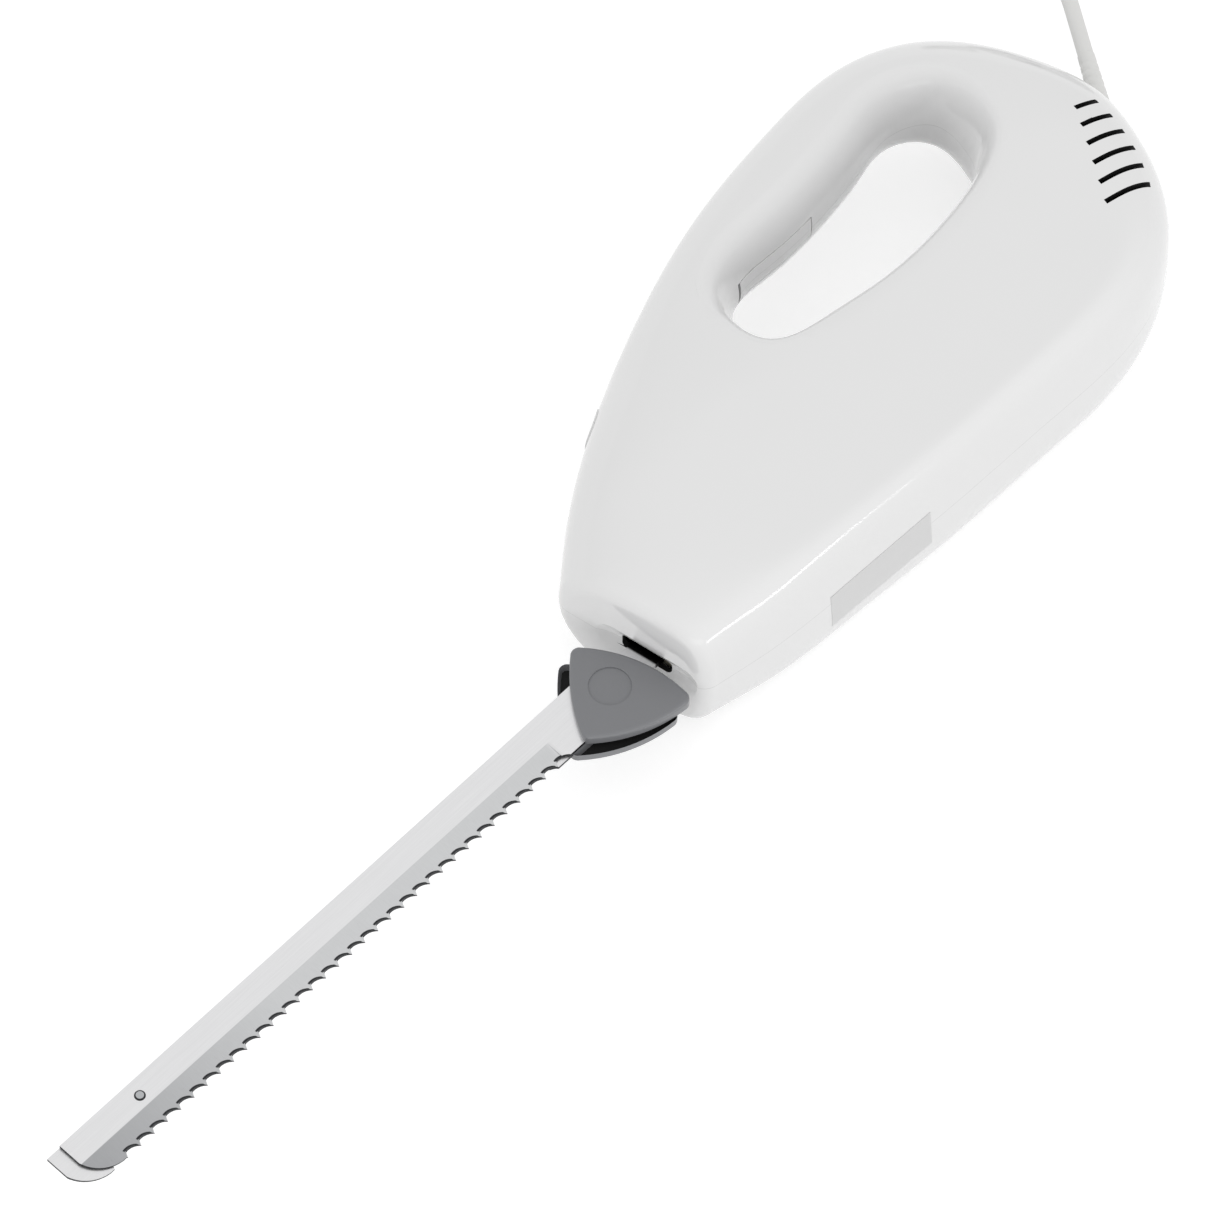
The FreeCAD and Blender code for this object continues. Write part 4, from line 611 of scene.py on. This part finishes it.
def smooth(piece: Piece, crease: Crease = Crease.SHELL) -> None:
    """Shade a piece smoothly, with its sharper edges left sharp."""
    take(piece)
    bpy.ops.object.shade_smooth_by_angle(angle=math.radians(crease.value))


def smooth_twin(node: str, crease: Crease = Crease.SHELL) -> Piece:
    """Copy a CAD node as a welded, smoothly shaded mesh.

    Args:
        node: Name of the CAD node.
        crease: Angle above which an edge stays sharp.

    Returns:
        The copy, which replaces the node.
    """
    twin = add_object(f"{node}_dressed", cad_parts[node].data.copy())
    take(twin)
    bpy.ops.mesh.customdata_custom_splitnormals_clear()
    edit(twin, lambda: bpy.ops.mesh.remove_doubles(threshold=WELD))
    smooth(twin, crease)
    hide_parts(node)
    return twin


def paint_faces(piece: Piece, slot: int, wanted: Callable[[Vector, Vector], bool]) -> None:
    """Give some faces of a piece another of its materials.

    Args:
        piece: The piece, with its materials in place.
        slot: Number of the material.
        wanted: Tells from a face's middle and direction whether it is meant.
    """
    for face in piece.data.polygons:
        if wanted(face.center, face.normal):
            face.material_index = slot


@dataclass
class MainsLead:
    """Mains cord: out of the sleeve, down to the table and into a tied coil with its plug."""

    radius: float = 2.5 * MM
    length: float = 1.2
    exit: Point = CORD_EXIT
    route: tuple[Point, ...] = (
        (0.17215, 0.00795, 0.029), (0.20195, 0.05298, 0.029), (0.21465, 0.07216, 0.029),
        (0.2285, 0.10408, 0.0038))
    centre: tuple[float, float] = (0.27204, 0.1055)
    way_degrees: float = 60.0
    low: float = 3.8 * MM
    high: float = 9.4 * MM
    half_turn_radii_mm: tuple[float, ...] = (
        37, 34.2, 31.4, 28.6, 25.8, 23, 20.2, 17.6, 23.2, 26, 28.8, 31.6, 34.4)
    climb_turn: int = 6
    points_per_half_turn: int = 8
    tail: float = 31 * MM
    tail_shares: tuple[float, float] = (0.5, 1.0)
    spline_order: int = 3
    steps_along: int = 6
    steps_round: int = 5

    def axes(self) -> tuple[Vector, Vector]:
        """Return the directions from the coil's centre to its entry and along the cord there."""
        lean = math.radians(self.way_degrees)
        ahead = Vector((math.cos(lean), math.sin(lean), 0))
        return Vector((-ahead.y, ahead.x, 0)), ahead

    def plug_foot(self) -> Vector:
        """Return the point where the cord goes into its plug."""
        side, ahead = self.axes()
        return Vector((*self.centre, self.high)) + side * self.half_turn_radii_mm[-1] * MM + ahead * self.tail

    def coil_points(self) -> list[Vector]:
        """Work out the coil's control points, a little outside the line so that the spline lies on it.

        Returns:
            The points, from the coil's entry to its tail.
        """
        side, ahead = self.axes()
        count = self.points_per_half_turn
        swell = 1 / math.cos(math.pi / (2 * count))
        points = []
        for j in range((len(self.half_turn_radii_mm) - 1) * count + 1):
            k, part = divmod(j, count)
            share = part / count
            near = self.half_turn_radii_mm[k]
            far = self.half_turn_radii_mm[min(k + 1, len(self.half_turn_radii_mm) - 1)]
            turn = math.pi * j / count
            rise = share * share * (3 - 2 * share) if k == self.climb_turn else float(k > self.climb_turn)
            reach = (near + (far - near) * share) * MM * swell
            level = self.low + (self.high - self.low) * rise
            way = side * math.cos(turn) + ahead * math.sin(turn)
            points.append(Vector((*self.centre, level)) + way * reach)
        return points

    def build(self, ends: list[Piece]) -> Piece:
        """Make the cord as one smooth curve.

        Args:
            ends: Plug, pins and tie on the cord; not used.

        Returns:
            The cord.
        """
        ahead = self.axes()[1]
        points = [Vector(p) for p in self.route] + self.coil_points()
        coil_end = points[-1]
        points += [coil_end + ahead * self.tail * share for share in self.tail_shares]
        curve = bpy.data.curves.new("mains_cord", "CURVE")
        curve.dimensions = "3D"
        curve.bevel_depth = self.radius
        curve.bevel_resolution = self.steps_round
        curve.use_fill_caps = True
        spline = curve.splines.new("NURBS")
        spline.points.add(len(points) - 1)
        for point, spot in zip(spline.points, points):
            point.co = (*spot, 1.0)
        spline.order_u = self.spline_order
        spline.use_endpoint_u = True
        spline.resolution_u = self.steps_along
        cord = add_object("mains_cord", curve)
        coat(cord, WHITE_PVC)
        settle(cord, Body.HOUSING)
        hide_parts("power_cord", "cord_coil")
        return cord


@dataclass
class Plug:
    """Flat two-pin plug with a tapered, grooved grip, its pins and the tie round the coil."""

    length: float = 36 * MM
    half_width: float = 17.2 * MM
    half_height: float = 9.2 * MM
    shoulder: float = 22 * MM
    neck_half_width: float = 4.6 * MM
    neck_half_height: float = 4.2 * MM
    edge: float = 3.4 * MM
    edge_steps: int = 5
    edge_degrees: float = 20.0
    groove_starts: tuple[float, ...] = (8 * MM, 11.5 * MM, 15 * MM)
    groove_width: float = 1.5 * MM
    groove_depth: float = 0.7 * MM
    boot_length: float = 9 * MM
    boot_share: float = 0.74
    pin_sleeve: float = 10 * MM
    pin_edge: float = 0.9 * MM
    pin_edge_steps: int = 4
    tie_edge: float = 0.35 * MM
    tie_edge_steps: int = 3
    sharp_degrees: float = 60.0

    def cut_across(self, piece: Piece, places: Iterable[float]) -> None:
        """Cut new edges across a piece that lies along X.

        Args:
            piece: The piece to cut.
            places: Distances of the cuts from its foot.
        """
        for place in places:
            edit(piece, lambda: bpy.ops.mesh.bisect(plane_co=(place, 0, 0), plane_no=(1, 0, 0)))

    def build_body(self, lead: MainsLead) -> Piece:
        """Shape the grip from a block: tapered, rounded and grooved, with a boot over the cord.

        Args:
            lead: The cord that the plug is on.

        Returns:
            The plug's body.
        """
        plug = start("plug_grip", bpy.ops.mesh.primitive_cube_add, size=1, location=(self.length / 2, 0, 0))
        plug.scale = (self.length, 2 * self.half_width, 2 * self.half_height)
        settle_place(plug)
        self.cut_across(plug, [self.shoulder])
        pick(plug, Element.FACE, lambda face: face.normal.x < -FACING)
        bpy.ops.transform.resize(
            value=(1, self.neck_half_width / self.half_width, self.neck_half_height / self.half_height),
            center_override=(0, 0, 0))
        bpy.ops.object.mode_set(mode="OBJECT")
        round_edges(plug, self.edge, self.edge_steps, self.edge_degrees)
        cuts = [first + step for first in self.groove_starts for step in (0, self.groove_width)]
        self.cut_across(plug, cuts)
        for first in self.groove_starts:
            pick(plug, Element.FACE, lambda face: first < face.center.x < first + self.groove_width)
            bpy.ops.mesh.extrude_region_shrink_fatten(
                TRANSFORM_OT_shrink_fatten={"value": -self.groove_depth})
            bpy.ops.object.mode_set(mode="OBJECT")
        pick(plug, Element.FACE, lambda face: face.normal.x < -FACING and face.center.x < self.edge)
        bpy.ops.mesh.extrude_region_move(TRANSFORM_OT_translate={"value": (-self.boot_length, 0, 0)})
        bpy.ops.transform.resize(value=(1, self.boot_share, self.boot_share), center_override=(0, 0, 0))
        bpy.ops.object.mode_set(mode="OBJECT")
        ahead = lead.axes()[1]
        plug.rotation_euler = (0, 0, math.atan2(ahead.y, ahead.x))
        plug.location = lead.plug_foot()
        settle_place(plug)
        face_outwards(plug)
        smooth(plug, Crease.TRIM)
        coat(plug, WHITE_PVC)
        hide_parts("plug_body")
        return settle(plug, Body.HOUSING)

    def build_pins(self, lead: MainsLead) -> Piece:
        """Round the pins' tips and sleeve them near the plug.

        Args:
            lead: The cord that the plug is on.

        Returns:
            Both pins.
        """
        pins = smooth_twin("plug_pins", Crease.TRIM)
        ahead = lead.axes()[1]
        face = lead.plug_foot() + ahead * self.length
        edit(pins, lambda: bpy.ops.mesh.bisect(plane_co=face + ahead * self.pin_sleeve, plane_no=ahead))
        round_edges(pins, self.pin_edge, self.pin_edge_steps, self.sharp_degrees)
        smooth(pins, Crease.TRIM)
        coat(pins, NICKEL, TIE_PLASTIC)
        paint_faces(pins, 1, lambda spot, way: (spot - face).dot(ahead) < self.pin_sleeve)
        return settle(pins, Body.HOUSING)

    def build(self, lead: MainsLead) -> list[Piece]:
        """Build the pieces on the cord.

        Args:
            lead: The cord that they are on.

        Returns:
            Plug, pins and tie.
        """
        tie = smooth_twin("cord_tie", Crease.TRIM)
        round_edges(tie, self.tie_edge, self.tie_edge_steps, self.sharp_degrees)
        smooth(tie, Crease.TRIM)
        coat(tie, TIE_PLASTIC)
        settle(tie, Body.HOUSING)
        return [self.build_body(lead), self.build_pins(lead), tie]


@dataclass
class Sleeve:
    """Ribbed, tapered sleeve that guides the cord out of the shell."""

    exit: Point = CORD_EXIT
    lean_degrees: float = 56.5
    inside: float = 18 * MM
    outside: float = 20 * MM
    big: float = 3.1 * MM
    small: float = 2.65 * MM
    bore: float = 2.5 * MM
    rib: float = 0.16 * MM
    ribs: int = 6
    groove_shares: tuple[float, float, float, float] = (0.5, 0.62, 0.88, 1.0)
    segments: int = 40

    def rings(self) -> list[tuple[float, float]]:
        """Work out the rings of the sleeve, from inside out.

        Returns:
            Height above the exit and radius of each ring.
        """
        rings = [(-self.inside, self.big), (0.0, self.big)]
        pitch = self.outside / (self.ribs + 1)
        for i in range(self.ribs):
            for share, dip in zip(self.groove_shares, (0.0, self.rib, self.rib, 0.0)):
                height = (i + share) * pitch
                rings.append((height, self.big + (self.small - self.big) * height / self.outside - dip))
        return rings + [(self.outside - self.rib, self.small), (self.outside, self.small - self.rib),
                        (self.outside, self.bore)]

    def build(self) -> Piece:
        """Draw the sleeve ring by ring along the cord.

        Returns:
            The sleeve.
        """
        rings = self.rings()
        foot, foot_radius = rings[0]
        sleeve = start("cord_sleeve_ribbed", bpy.ops.mesh.primitive_circle_add, vertices=self.segments,
                       radius=foot_radius, fill_type="NGON", location=(0, 0, 0))
        take(sleeve)
        bpy.ops.object.mode_set(mode="EDIT")
        bpy.ops.mesh.select_all(action="SELECT")
        for (low, near), (high, far) in zip(rings, rings[1:]):
            bpy.ops.mesh.extrude_region_move(TRANSFORM_OT_translate={"value": (0, 0, high - low)})
            if far != near:
                grow = far / near
                bpy.ops.transform.resize(value=(grow, grow, 1), center_override=(0, 0, high - foot))
        bpy.ops.object.mode_set(mode="OBJECT")
        face_outwards(sleeve)
        lean = math.radians(self.lean_degrees)
        way = Vector((math.cos(lean), math.sin(lean), 0))
        sleeve.rotation_mode = "QUATERNION"
        sleeve.rotation_quaternion = way.to_track_quat("Z", "Y")
        sleeve.location = Vector(self.exit) - way * self.inside
        settle_place(sleeve)
        smooth(sleeve, Crease.TRIM)
        coat(sleeve, WHITE_PVC)
        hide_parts("cord_sleeve")
        return settle(sleeve, Body.HOUSING)


@dataclass
class Shell:
    """White body: two halves with painted shade in their openings, the trigger and the release button."""

    nose_x: float = -43.5 * MM
    nose_tilt_degrees: float = 9.5
    mouth_high: float = 17.5 * MM
    mouth_wide: float = 6.6 * MM
    mouth_drop: float = 0.5 * MM
    mouth_depth: float = 4 * MM
    dish_depth: float = 1.2 * MM
    vent_start: tuple[float, float] = (150 * MM, -3.7 * MM)
    vent_pitch: tuple[float, float] = (3.8 * MM, 5.9 * MM)
    vent_width: float = 1.7 * MM
    vent_edge: float = 23.3 * MM
    vent_tilt_degrees: float = 11.0
    vents: int = 6
    near: float = 0.06 * MM
    rear_room: Point = (150 * MM, 5 * MM, 29 * MM)
    rear_room_start: float = 130 * MM
    rear_room_top: float = 34 * MM
    front_room: Point = (-20 * MM, 0.0, 29 * MM)
    front_room_end: float = -22 * MM

    def in_vent(self, spot: Vector) -> bool:
        """Tell whether a face lies on the wall of an air slot.

        Args:
            spot: Middle of the face.

        Returns:
            Whether it does.
        """
        tilt = math.radians(self.vent_tilt_degrees)
        for i in range(self.vents):
            x = spot.x - self.vent_start[0] - i * self.vent_pitch[0]
            y = spot.y - self.vent_start[1] - i * self.vent_pitch[1]
            along = x * math.cos(tilt) - y * math.sin(tilt)
            across = x * math.sin(tilt) + y * math.cos(tilt)
            if along > -self.near and -self.near < across < self.vent_width + self.near:
                return abs(spot.z - MID) > self.vent_edge - self.near
        return False

    def in_room(self, spot: Vector, way: Vector) -> bool:
        """Tell whether a face looks into the room behind the slots or the mouth, where shade is painted.

        Args:
            spot: Middle of the face.
            way: Its direction.

        Returns:
            Whether it does.
        """
        if spot.x > self.rear_room_start:
            return spot.y < self.rear_room_top and (spot - Vector(self.rear_room)).dot(way) < 0
        return spot.x < self.front_room_end and (spot - Vector(self.front_room)).dot(way) < 0

    def in_mouth(self, spot: Vector) -> bool:
        """Tell whether a face lies on the wall of the blades' mouth.

        Args:
            spot: Middle of the face.

        Returns:
            Whether it does.
        """
        tilt = math.radians(self.nose_tilt_degrees)
        off = spot - Vector((self.nose_x, 0, MID))
        deep = off.x * math.cos(tilt) + off.y * math.sin(tilt)
        across = off.y * math.cos(tilt) - off.x * math.sin(tilt)
        return (self.dish_depth < deep < self.mouth_depth
                and abs(across + self.mouth_drop) < self.mouth_high / 2 + self.near
                and abs(off.z) < self.mouth_wide / 2 + self.near)

    def build(self) -> list[Piece]:
        """Dress the shell's pieces.

        Returns:
            Both halves.
        """
        halves = [smooth_twin(node) for node in ("left_housing", "right_housing")]
        for half in halves:
            coat(half, WHITE_ABS, SHADOW_BLACK)
            # Painted shade: the walls of the slots and the mouth, and the faces that look into the rooms
            # behind them, go near black.
            paint_faces(half, 1, lambda spot, way: (
                self.in_vent(spot) or self.in_mouth(spot) or self.in_room(spot, way)))
            settle(half, Body.HOUSING)
        for node, body in (("trigger", Body.TRIGGER), ("release_button", Body.BUTTON)):
            piece = smooth_twin(node)
            coat(piece, WHITE_ABS)
            settle(piece, body)
        return halves


@dataclass
class LabelFilm:
    """Blank film on the lower wall of the shell."""

    centre: Point = (27.3 * MM, -31 * MM, 25 * MM)
    size: tuple[float, float] = (40 * MM, 19.5 * MM)
    steps: tuple[int, int] = (30, 14)
    turn_degrees: float = 4.5
    lift: float = 0.03 * MM
    thickness: float = 0.1 * MM

    def build(self, halves: Iterable[Piece]) -> Piece:
        """Lay the film on the wall.

        Args:
            halves: Halves of the shell that it is stuck to.

        Returns:
            The film.
        """
        bed = add_object("film_bed", bpy.data.meshes.new("film_bed"))
        take(bed)
        for half in halves:
            add_object("film_bed_part", half.data.copy()).select_set(True)
        bpy.ops.object.join()
        film = start("blank_label_film", bpy.ops.mesh.primitive_grid_add, x_subdivisions=self.steps[0],
                     y_subdivisions=self.steps[1], size=1, location=self.centre,
                     rotation=(math.pi / 2, -math.radians(self.turn_degrees), 0))
        film.scale = (*self.size, 1)
        settle_place(film)
        apply_modifier(film, "SHRINKWRAP", target=bed, wrap_method="NEAREST_SURFACEPOINT",
                       wrap_mode="ABOVE_SURFACE", offset=self.lift)
        apply_modifier(film, "SOLIDIFY", thickness=self.thickness, offset=1.0)
        bpy.data.objects.remove(bed)
        smooth(film)
        coat(film, FILM)
        return settle(film, Body.HOUSING)


@dataclass
class BladePair:
    """Two serrated blades, their guards and the rivet that holds their tips together."""

    tooth_line: float = -5.5 * MM
    left_tip_x: float = -273 * MM
    tip_length: float = 12 * MM
    cut_tilt: float = 0.5
    rivet: tuple[float, float] = (-246 * MM, 3 * MM)
    skin: float = 1.15 * MM
    head_radius: float = 1.7 * MM
    head_height: float = 0.55 * MM
    head_segments: int = 32
    seat_shade_height: float = 0.40 * MM
    near: float = 0.02 * MM
    guard_inner: float = 0.3 * MM
    guard_wall: float = 0.9 * MM
    guard_hollow: float = 2.2 * MM
    guard_middle: Point = (-60 * MM, -4 * MM, 29 * MM)
    wall_tilt: float = 0.3
    stroke: float = 5 * MM
    teeth: int = 34
    tooth_pitch: float = 5.3 * MM
    tooth_start: float = 11 * MM
    tooth_radius: float = 4.6 * MM
    tooth_centre: tuple[float, float] = (1.678 * MM, -2.834 * MM)
    arc_degrees: tuple[float, float] = (44.0, 106.0)
    circle_steps: int = 72
    edge_level: float = -8 * MM
    edge_skin: float = 0.4 * MM
    grind_top: float = 0.6 * MM
    grind_top_to_edge: float = 9.1 * MM
    bevel_high: float = 0.6 * MM
    bevel_lean_share: float = 0.3
    bevel_thick: float = 0.03 * MM

    def build_blades(self) -> None:
        """Dress the blades, with painted shade on the cut walls between the teeth and at the left tip."""
        for node, body in (("left_blade", Body.LEFT_KNIFE), ("right_blade", Body.RIGHT_KNIFE)):
            blade = smooth_twin(node, Crease.BLADE)
            coat(blade, BLADE_STEEL, SHADE_STEEL)
            # Painted shade on the walls of the teeth and of the left tip.
            paint_faces(blade, 1, lambda spot, way: abs(way.z) < self.cut_tilt and (
                spot.y < self.tooth_line or abs(spot.x - self.left_tip_x) < self.tip_length))
            settle(blade, body)

    def inner_face(self, face: bpy.types.MeshPolygon) -> bool:
        """Tell whether a face of a guard is its inner face."""
        off = abs(face.center.z - MID) - self.guard_inner
        return abs(off) < self.near and abs(face.normal.z) > FACING

    def hollow_wall(self, spot: Vector, way: Vector) -> bool:
        """Tell whether a face of a guard is an upright wall of its hollow.

        Args:
            spot: Middle of the face.
            way: Its direction.

        Returns:
            Whether it is.
        """
        deep = abs(spot.z - MID) - self.guard_inner
        inwards = (Vector(self.guard_middle) - spot).to_2d().dot(way.to_2d()) > 0
        return self.near < deep < self.guard_hollow - self.near and abs(way.z) < self.wall_tilt and inwards

    def build_guards(self) -> None:
        """Hollow the guards from their inner faces, paint shade into the hollows and dress them."""
        for node, body in (("left_blade_guard", Body.LEFT_KNIFE), ("right_blade_guard", Body.RIGHT_KNIFE)):
            guard = smooth_twin(node, Crease.TRIM)
            coat(guard, GREY_PP, SHADOW_BLACK)
            pick(guard, Element.FACE, self.inner_face)
            bpy.ops.mesh.inset(thickness=self.guard_wall, depth=-self.guard_hollow, use_boundary=True)
            # Painted shade: the inset faces of the hollow go near black.
            guard.active_material_index = 1
            bpy.ops.object.material_slot_assign()
            bpy.ops.object.mode_set(mode="OBJECT")
            paint_faces(guard, 1, self.hollow_wall)
            smooth(guard, Crease.TRIM)
            settle(guard, body)

    def off_arc(self, point: bpy.types.MeshVertex) -> bool:
        """Tell whether a point of the tooth gap's circle is outside the gap's arc."""
        turn = math.degrees(math.atan2(point.co.y, point.co.x))
        return not self.arc_degrees[0] < turn < self.arc_degrees[1]

    def build_bevels(self) -> None:
        """Model a thin dark sheet of painted shade on the ground bevel over a gap between teeth and repeat it
        along each blade.
        """
        low = self.edge_level + self.tooth_centre[1]
        rise = -low - self.grind_top
        slope = (self.skin - self.edge_skin) / self.grind_top_to_edge
        for name, sign, ahead, body in (("left_tooth_bevel_shade", 1, 0.0, Body.LEFT_KNIFE),
                                        ("right_tooth_bevel_shade", -1, self.stroke, Body.RIGHT_KNIFE)):
            bevel = start(name, bpy.ops.mesh.primitive_circle_add, vertices=self.circle_steps,
                          radius=self.tooth_radius, location=(0, 0, 0))
            pick(bevel, Element.POINT, self.off_arc)
            bpy.ops.mesh.delete(type="VERT")
            bpy.ops.mesh.select_all(action="SELECT")
            bpy.ops.mesh.extrude_edges_move(TRANSFORM_OT_translate={
                "value": (-self.bevel_high * self.bevel_lean_share, self.bevel_high, 0)})
            bpy.ops.object.mode_set(mode="OBJECT")
            apply_modifier(bevel, "ARRAY", count=self.teeth, use_relative_offset=False,
                           use_constant_offset=True, constant_offset_displace=(self.tooth_pitch, 0, 0))
            apply_modifier(bevel, "SOLIDIFY", thickness=self.bevel_thick, offset=0.0)
            bevel.rotation_euler = (math.atan(slope) * sign, 0, 0)
            bevel.location = (self.left_tip_x - ahead + self.tooth_start + self.tooth_centre[0], low,
                              MID + sign * (self.skin - slope * rise + self.bevel_thick))
            settle_place(bevel)
            face_outwards(bevel)
            coat(bevel, SHADE_STEEL)
            settle(bevel, body)

    def build_rivet(self) -> Piece:
        """Model the rivet's two domed heads.

        Returns:
            The rivet.
        """
        flatten = (1, 1, self.head_height / self.head_radius)
        heads = []
        for sign in (1, -1):
            head = start("rivet_domed", bpy.ops.mesh.primitive_uv_sphere_add, segments=self.head_segments,
                         ring_count=self.head_segments // 2, radius=self.head_radius, location=(0, 0, 0))
            edit(head,
                 lambda: bpy.ops.mesh.bisect(
                     plane_co=(0, 0, 0), plane_no=(0, 0, sign), use_fill=True, clear_inner=True),
                 lambda: bpy.ops.mesh.select_all(action="SELECT"),
                 lambda: bpy.ops.transform.resize(value=flatten, center_override=(0, 0, 0)),
                 lambda: bpy.ops.mesh.normals_make_consistent(inside=False))
            head.location = (*self.rivet, MID + sign * self.skin)
            settle_place(head)
            heads.append(head)
        rivet, other = heads
        take(rivet)
        other.select_set(True)
        bpy.ops.object.join()
        smooth(rivet, Crease.DOME)
        coat(rivet, BRIGHT_STEEL, SHADE_STEEL)
        # Painted shade: a dark ring round each head where it meets the blade.
        paint_faces(rivet, 1, lambda spot, way: abs(spot.z - MID) < self.skin + self.seat_shade_height)
        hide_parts("blade_rivet")
        return settle(rivet, Body.LEFT_KNIFE)

    def build(self) -> None:
        """Build the pair."""
        self.build_blades()
        self.build_guards()
        self.build_bevels()
        self.build_rivet()


@dataclass(frozen=True)
class Lamp:
    """Soft rectangular lamp, with its level side first."""

    name: str
    place: Point
    sides: tuple[float, float]
    watts: float


@dataclass
class Studio:
    """Pale floor, soft light and the camera."""

    camera_place: Point = (-1.1232, -1.0261, 2.6350)
    camera_target: Point = (-0.04227, 0.01397, 0.03698)
    lens: float = 304.8
    sensor: float = 36.0
    floor_size: float = 8.0
    floor_drop: float = 0.2 * MM
    floor_colour: str = "#cfcfcf"
    floor_roughness: float = 0.9
    floor_glow: float = 0.58
    sky_light: float = 0.86
    lamps: tuple[Lamp, ...] = (
        Lamp("low_lamp", (-1.6, -1.8, 0.5), (2.6, 1.2), 8.0),
        Lamp("edge_strip", (0.166, -1.45, 0.12), (0.58, 0.18), 2.1))

    def seen_directly(self, tree: Tree) -> Socket:
        """Mark the rays that show the background.

        Args:
            tree: Node tree of the floor or the world.

        Returns:
            1 for rays from the camera, off gloss or through glass, else 0.
        """
        path = add_node(tree, "ShaderNodeLightPath")
        total = path.outputs["Is Camera Ray"]
        for name in ("Is Glossy Ray", "Is Transmission Ray"):
            total = add_node(
                tree, "ShaderNodeMath", {0: total, 1: path.outputs[name]}, operation="MAXIMUM").outputs[0]
        return total

    def build_floor(self) -> None:
        """Add the floor, near white to the camera, with the knife's shadow on it."""
        floor = start("studio_floor", bpy.ops.mesh.primitive_plane_add, size=self.floor_size,
                      location=(0, 0, -self.floor_drop))
        material = bpy.data.materials.new("pale_floor")
        material.use_nodes = True
        tree = material.node_tree
        shader = tree.nodes["Principled BSDF"]
        shader.inputs["Base Color"].default_value = linear(self.floor_colour)
        shader.inputs["Roughness"].default_value = self.floor_roughness
        shader.inputs["Specular IOR Level"].default_value = 0.0
        glow = add_node(
            tree, "ShaderNodeMath", {0: self.seen_directly(tree), 1: self.floor_glow}, operation="MULTIPLY")
        shader.inputs["Emission Color"].default_value = (1, 1, 1, 1)
        tree.links.new(glow.outputs[0], shader.inputs["Emission Strength"])
        floor.data.materials.append(material)

    def build_world(self) -> None:
        """Light the scene evenly from all round."""
        world = bpy.data.worlds.new("studio")
        bpy.context.scene.world = world
        world.use_nodes = True
        tree = world.node_tree
        strength = add_node(tree, "ShaderNodeMapRange", {
            "Value": self.seen_directly(tree), "To Min": self.sky_light, "To Max": 1.0})
        background = tree.nodes["Background"]
        background.inputs["Color"].default_value = (1, 1, 1, 1)
        tree.links.new(strength.outputs[0], background.inputs["Strength"])

    def aim(self, thing: Piece, place: Point) -> None:
        """Hang a lamp or the camera and turn it to the knife.

        Args:
            thing: The lamp or camera.
            place: Where it hangs, in metres.
        """
        thing.location = place
        thing.rotation_mode = "QUATERNION"
        thing.rotation_quaternion = (Vector(self.camera_target) - Vector(place)).to_track_quat("-Z", "Y")

    def build_lamp(self, lamp: Lamp) -> None:
        """Add a soft lamp that faces the knife.

        Args:
            lamp: Its name, place, sides and power.
        """
        data = bpy.data.lights.new(lamp.name, "AREA")
        data.shape = "RECTANGLE"
        data.size, data.size_y = lamp.sides
        data.energy = lamp.watts
        self.aim(add_object(lamp.name, data), lamp.place)

    def build_camera(self) -> None:
        """Add the camera at the photograph's angle and frame."""
        data = bpy.data.cameras.new("photo_camera")
        data.lens = self.lens
        data.sensor_width = self.sensor
        camera = add_object("photo_camera", data)
        self.aim(camera, self.camera_place)
        bpy.context.scene.camera = camera

    def build(self) -> None:
        """Set up the whole studio."""
        bpy.context.scene.view_settings.view_transform = "Standard"
        self.build_floor()
        self.build_world()
        for lamp in self.lamps:
            self.build_lamp(lamp)
        self.build_camera()


def main() -> None:
    """Build every piece in order."""
    logging.basicConfig(level=logging.INFO, format="%(name)s: %(message)s")
    Studio().build()
    for finish, names in NODE_FINISHES.items():
        for name in names:
            coat(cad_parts[name], finish)
    lead = MainsLead()
    lead.build(Plug().build(lead))
    Sleeve().build()
    LabelFilm().build(Shell().build())
    BladePair().build()


if __name__ == "__main__":
    main()
